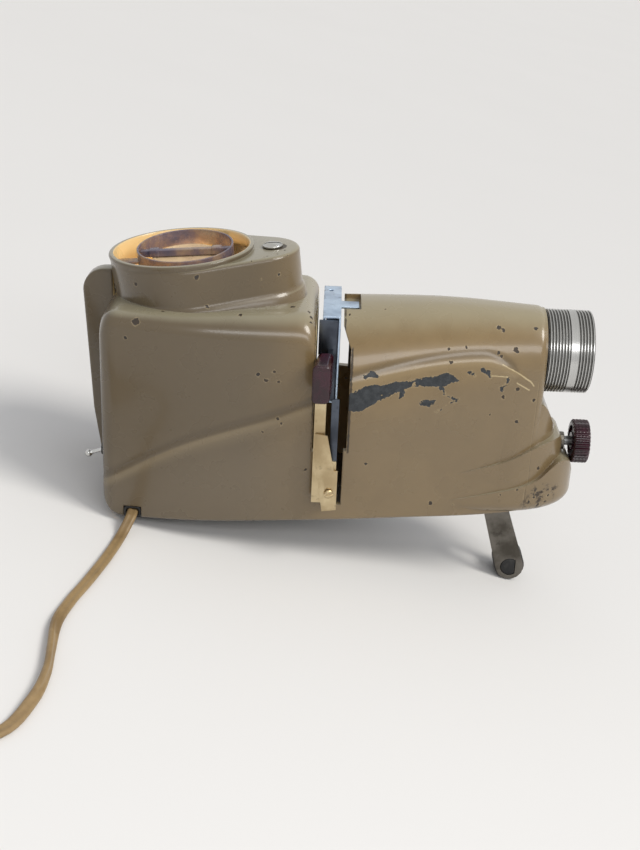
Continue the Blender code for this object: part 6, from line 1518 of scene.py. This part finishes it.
def studio():
    """A plain pale floor, one broad key light from the upper right, and a soft sky."""
    bm = bmesh.new()
    square = rectangle(-FLOOR_HALF, FLOOR_HALF, -FLOOR_HALF, FLOOR_HALF)
    bm.faces.new([bm.verts.new((x, y, 0)) for x, y in square])
    floor = object_of(bm, "floor")
    pale = Finish("pale_floor", 0.9)
    pale.feed("Base Color", pale.mix(pale.noise(3, 2), *FLOOR_TONES))
    floor.data.materials.append(pale.material)
    sun = bpy.data.lights.new("key", "SUN")
    sun.energy, sun.angle, sun.color = KEY_STRENGTH, KEY_SPREAD, (1.0, 0.97, 0.92)
    aimed("key", sun, -KEY_FROM)
    panel = bpy.data.lights.new("panel", "AREA")
    panel.shape, panel.size, panel.size_y, panel.energy = "RECTANGLE", 0.9, 0.25, PANEL_WATTS
    aimed("panel", panel, PANEL_AIM - PANEL_PLACE).location = PANEL_PLACE
    world = bpy.data.worlds.new("sky")
    world.use_nodes = True
    bpy.context.scene.world = world
    sky = Graph(world.node_tree)
    _, _, up = sky.axes(sky.node("ShaderNodeTexCoord", out="Generated"))
    path = sky.node("ShaderNodeLightPath", out=None)
    seen, glossy, through = (Wire(sky, path.outputs[name]) for name in (
        "Is Camera Ray", "Is Glossy Ray", "Is Transmission Ray"))
    colour = sky.mix(seen.most(glossy, through), sky.mix(sky.band(up, -0.1, 0.8), *SKY_TONES), BACKDROP)
    back = world.node_tree.nodes["Background"]
    sky.tree.links.new(colour.socket, back.inputs["Color"])
    back.inputs["Strength"].default_value = SKY_STRENGTH


camera()
studio()
bright, grey, sky_tinted_plate, blued, worn, chrome, brass, mirror = (
    bare_metal(name, shade(*light), shade(*dull), rough, stain) for name, light, dull, rough, stain in (
        ("bright_sheet", (206, 188, 152), (176, 156, 122), 0.32, 0.35),
        ("grey_steel", (142, 142, 142), (112, 108, 102), 0.36, 0.35),
        # plated steel, tinted light blue as a painted reflection of the sky
        ("plated_steel", (204, 224, 246), (172, 190, 212), 0.30, 0.35),
        ("blued_steel", (92, 98, 108), (70, 74, 82), 0.34, 0.35),
        ("worn_leg_steel", (116, 112, 106), (84, 80, 74), 0.38, 0.35),
        ("worn_chrome", (214, 216, 218), (188, 186, 180), 0.16, 0.15),
        ("old_brass", (188, 150, 84), (140, 108, 62), 0.34, 0.35),
        ("polished_mirror", (222, 222, 220), (200, 196, 186), 0.14, 0.1),
    ))
maroon, black, glass, aluminium = bakelite(), rubber(), clear_glass(), turned_aluminium()
body = casting()
paint = cream_paint(spots_on(body, CHIPS), lines_on(body, SCRAPES), spots_on(body, FLAKED),
                    lines_on(body, SCRATCHES))
dressed(body, paint, "cream_paint", "root", "body_casting").name = "body_casting_made"
make_cord(cord_vinyl(), black, brass)
make_baffle(tinted_steel(), dusty_disc())
make_chimney_screw(chrome)
make_barrel(aluminium)
make_lens(aluminium, glass)
make_knob(maroon, grey)
make_handle(maroon)
make_strap_edge(blued)
make_switch_lever(chrome)
make_lamp(lit_lamp(), ceramic(), brass)
make_feet(black)
# The other pieces keep their own form, with softened edges
for surface, slot, edge, nodes in (
    (grey, "steel", 0.0003, "base_plate"),
    (grey, "steel", 0.0002, "base_screw_1 base_screw_2 base_screw_3 base_screw_4"),
    (bright, "steel", 0.0002, "bracket_screw"),
    # the gate frame's blue tint is a painted sky reflection
    (sky_tinted_plate, "steel", 0.0003, "gate_frame"),
    (blued, "steel", 0.0003, "slide_carrier"),
    (bright, "steel", 0.0003, "handle_strap handle_bracket"),
    (black, "black_rubber", 0.0003, "switch_body"),
    (chrome, "chrome", 0.0004, "switch_nut"),
    (brass, "brass", 0.0003, "trunnion_nut"),
    (worn, "brass", 0.0002, "screw_bush"),
    (worn, "steel", 0.0004, "leg"),
    (black, "black_rubber", 0.0006, "leg_foot"),
    (grey, "steel", 0.0002, "leg_pivot_pin"),
    (black, "black_rubber", 0.0003, "cord_grommet"),
    (grey, "steel", 0.0003, "socket_bracket reflector_bracket"),
):
    for node in nodes.split():
        refined(node, surface, slot, edge)
# and these only take a better finish
for surface, nodes in (
    (mirror, "reflector"),
    (aluminium, "condenser_holder lens_sleeve"),
    (glass, "lens_element_rear condenser_lens_rear condenser_lens_front heat_glass"),
):
    for node in nodes.split():
        frame["nodes"][node].material_slots[0].material = surface

bpy.context.scene.view_settings.view_transform = "Standard"
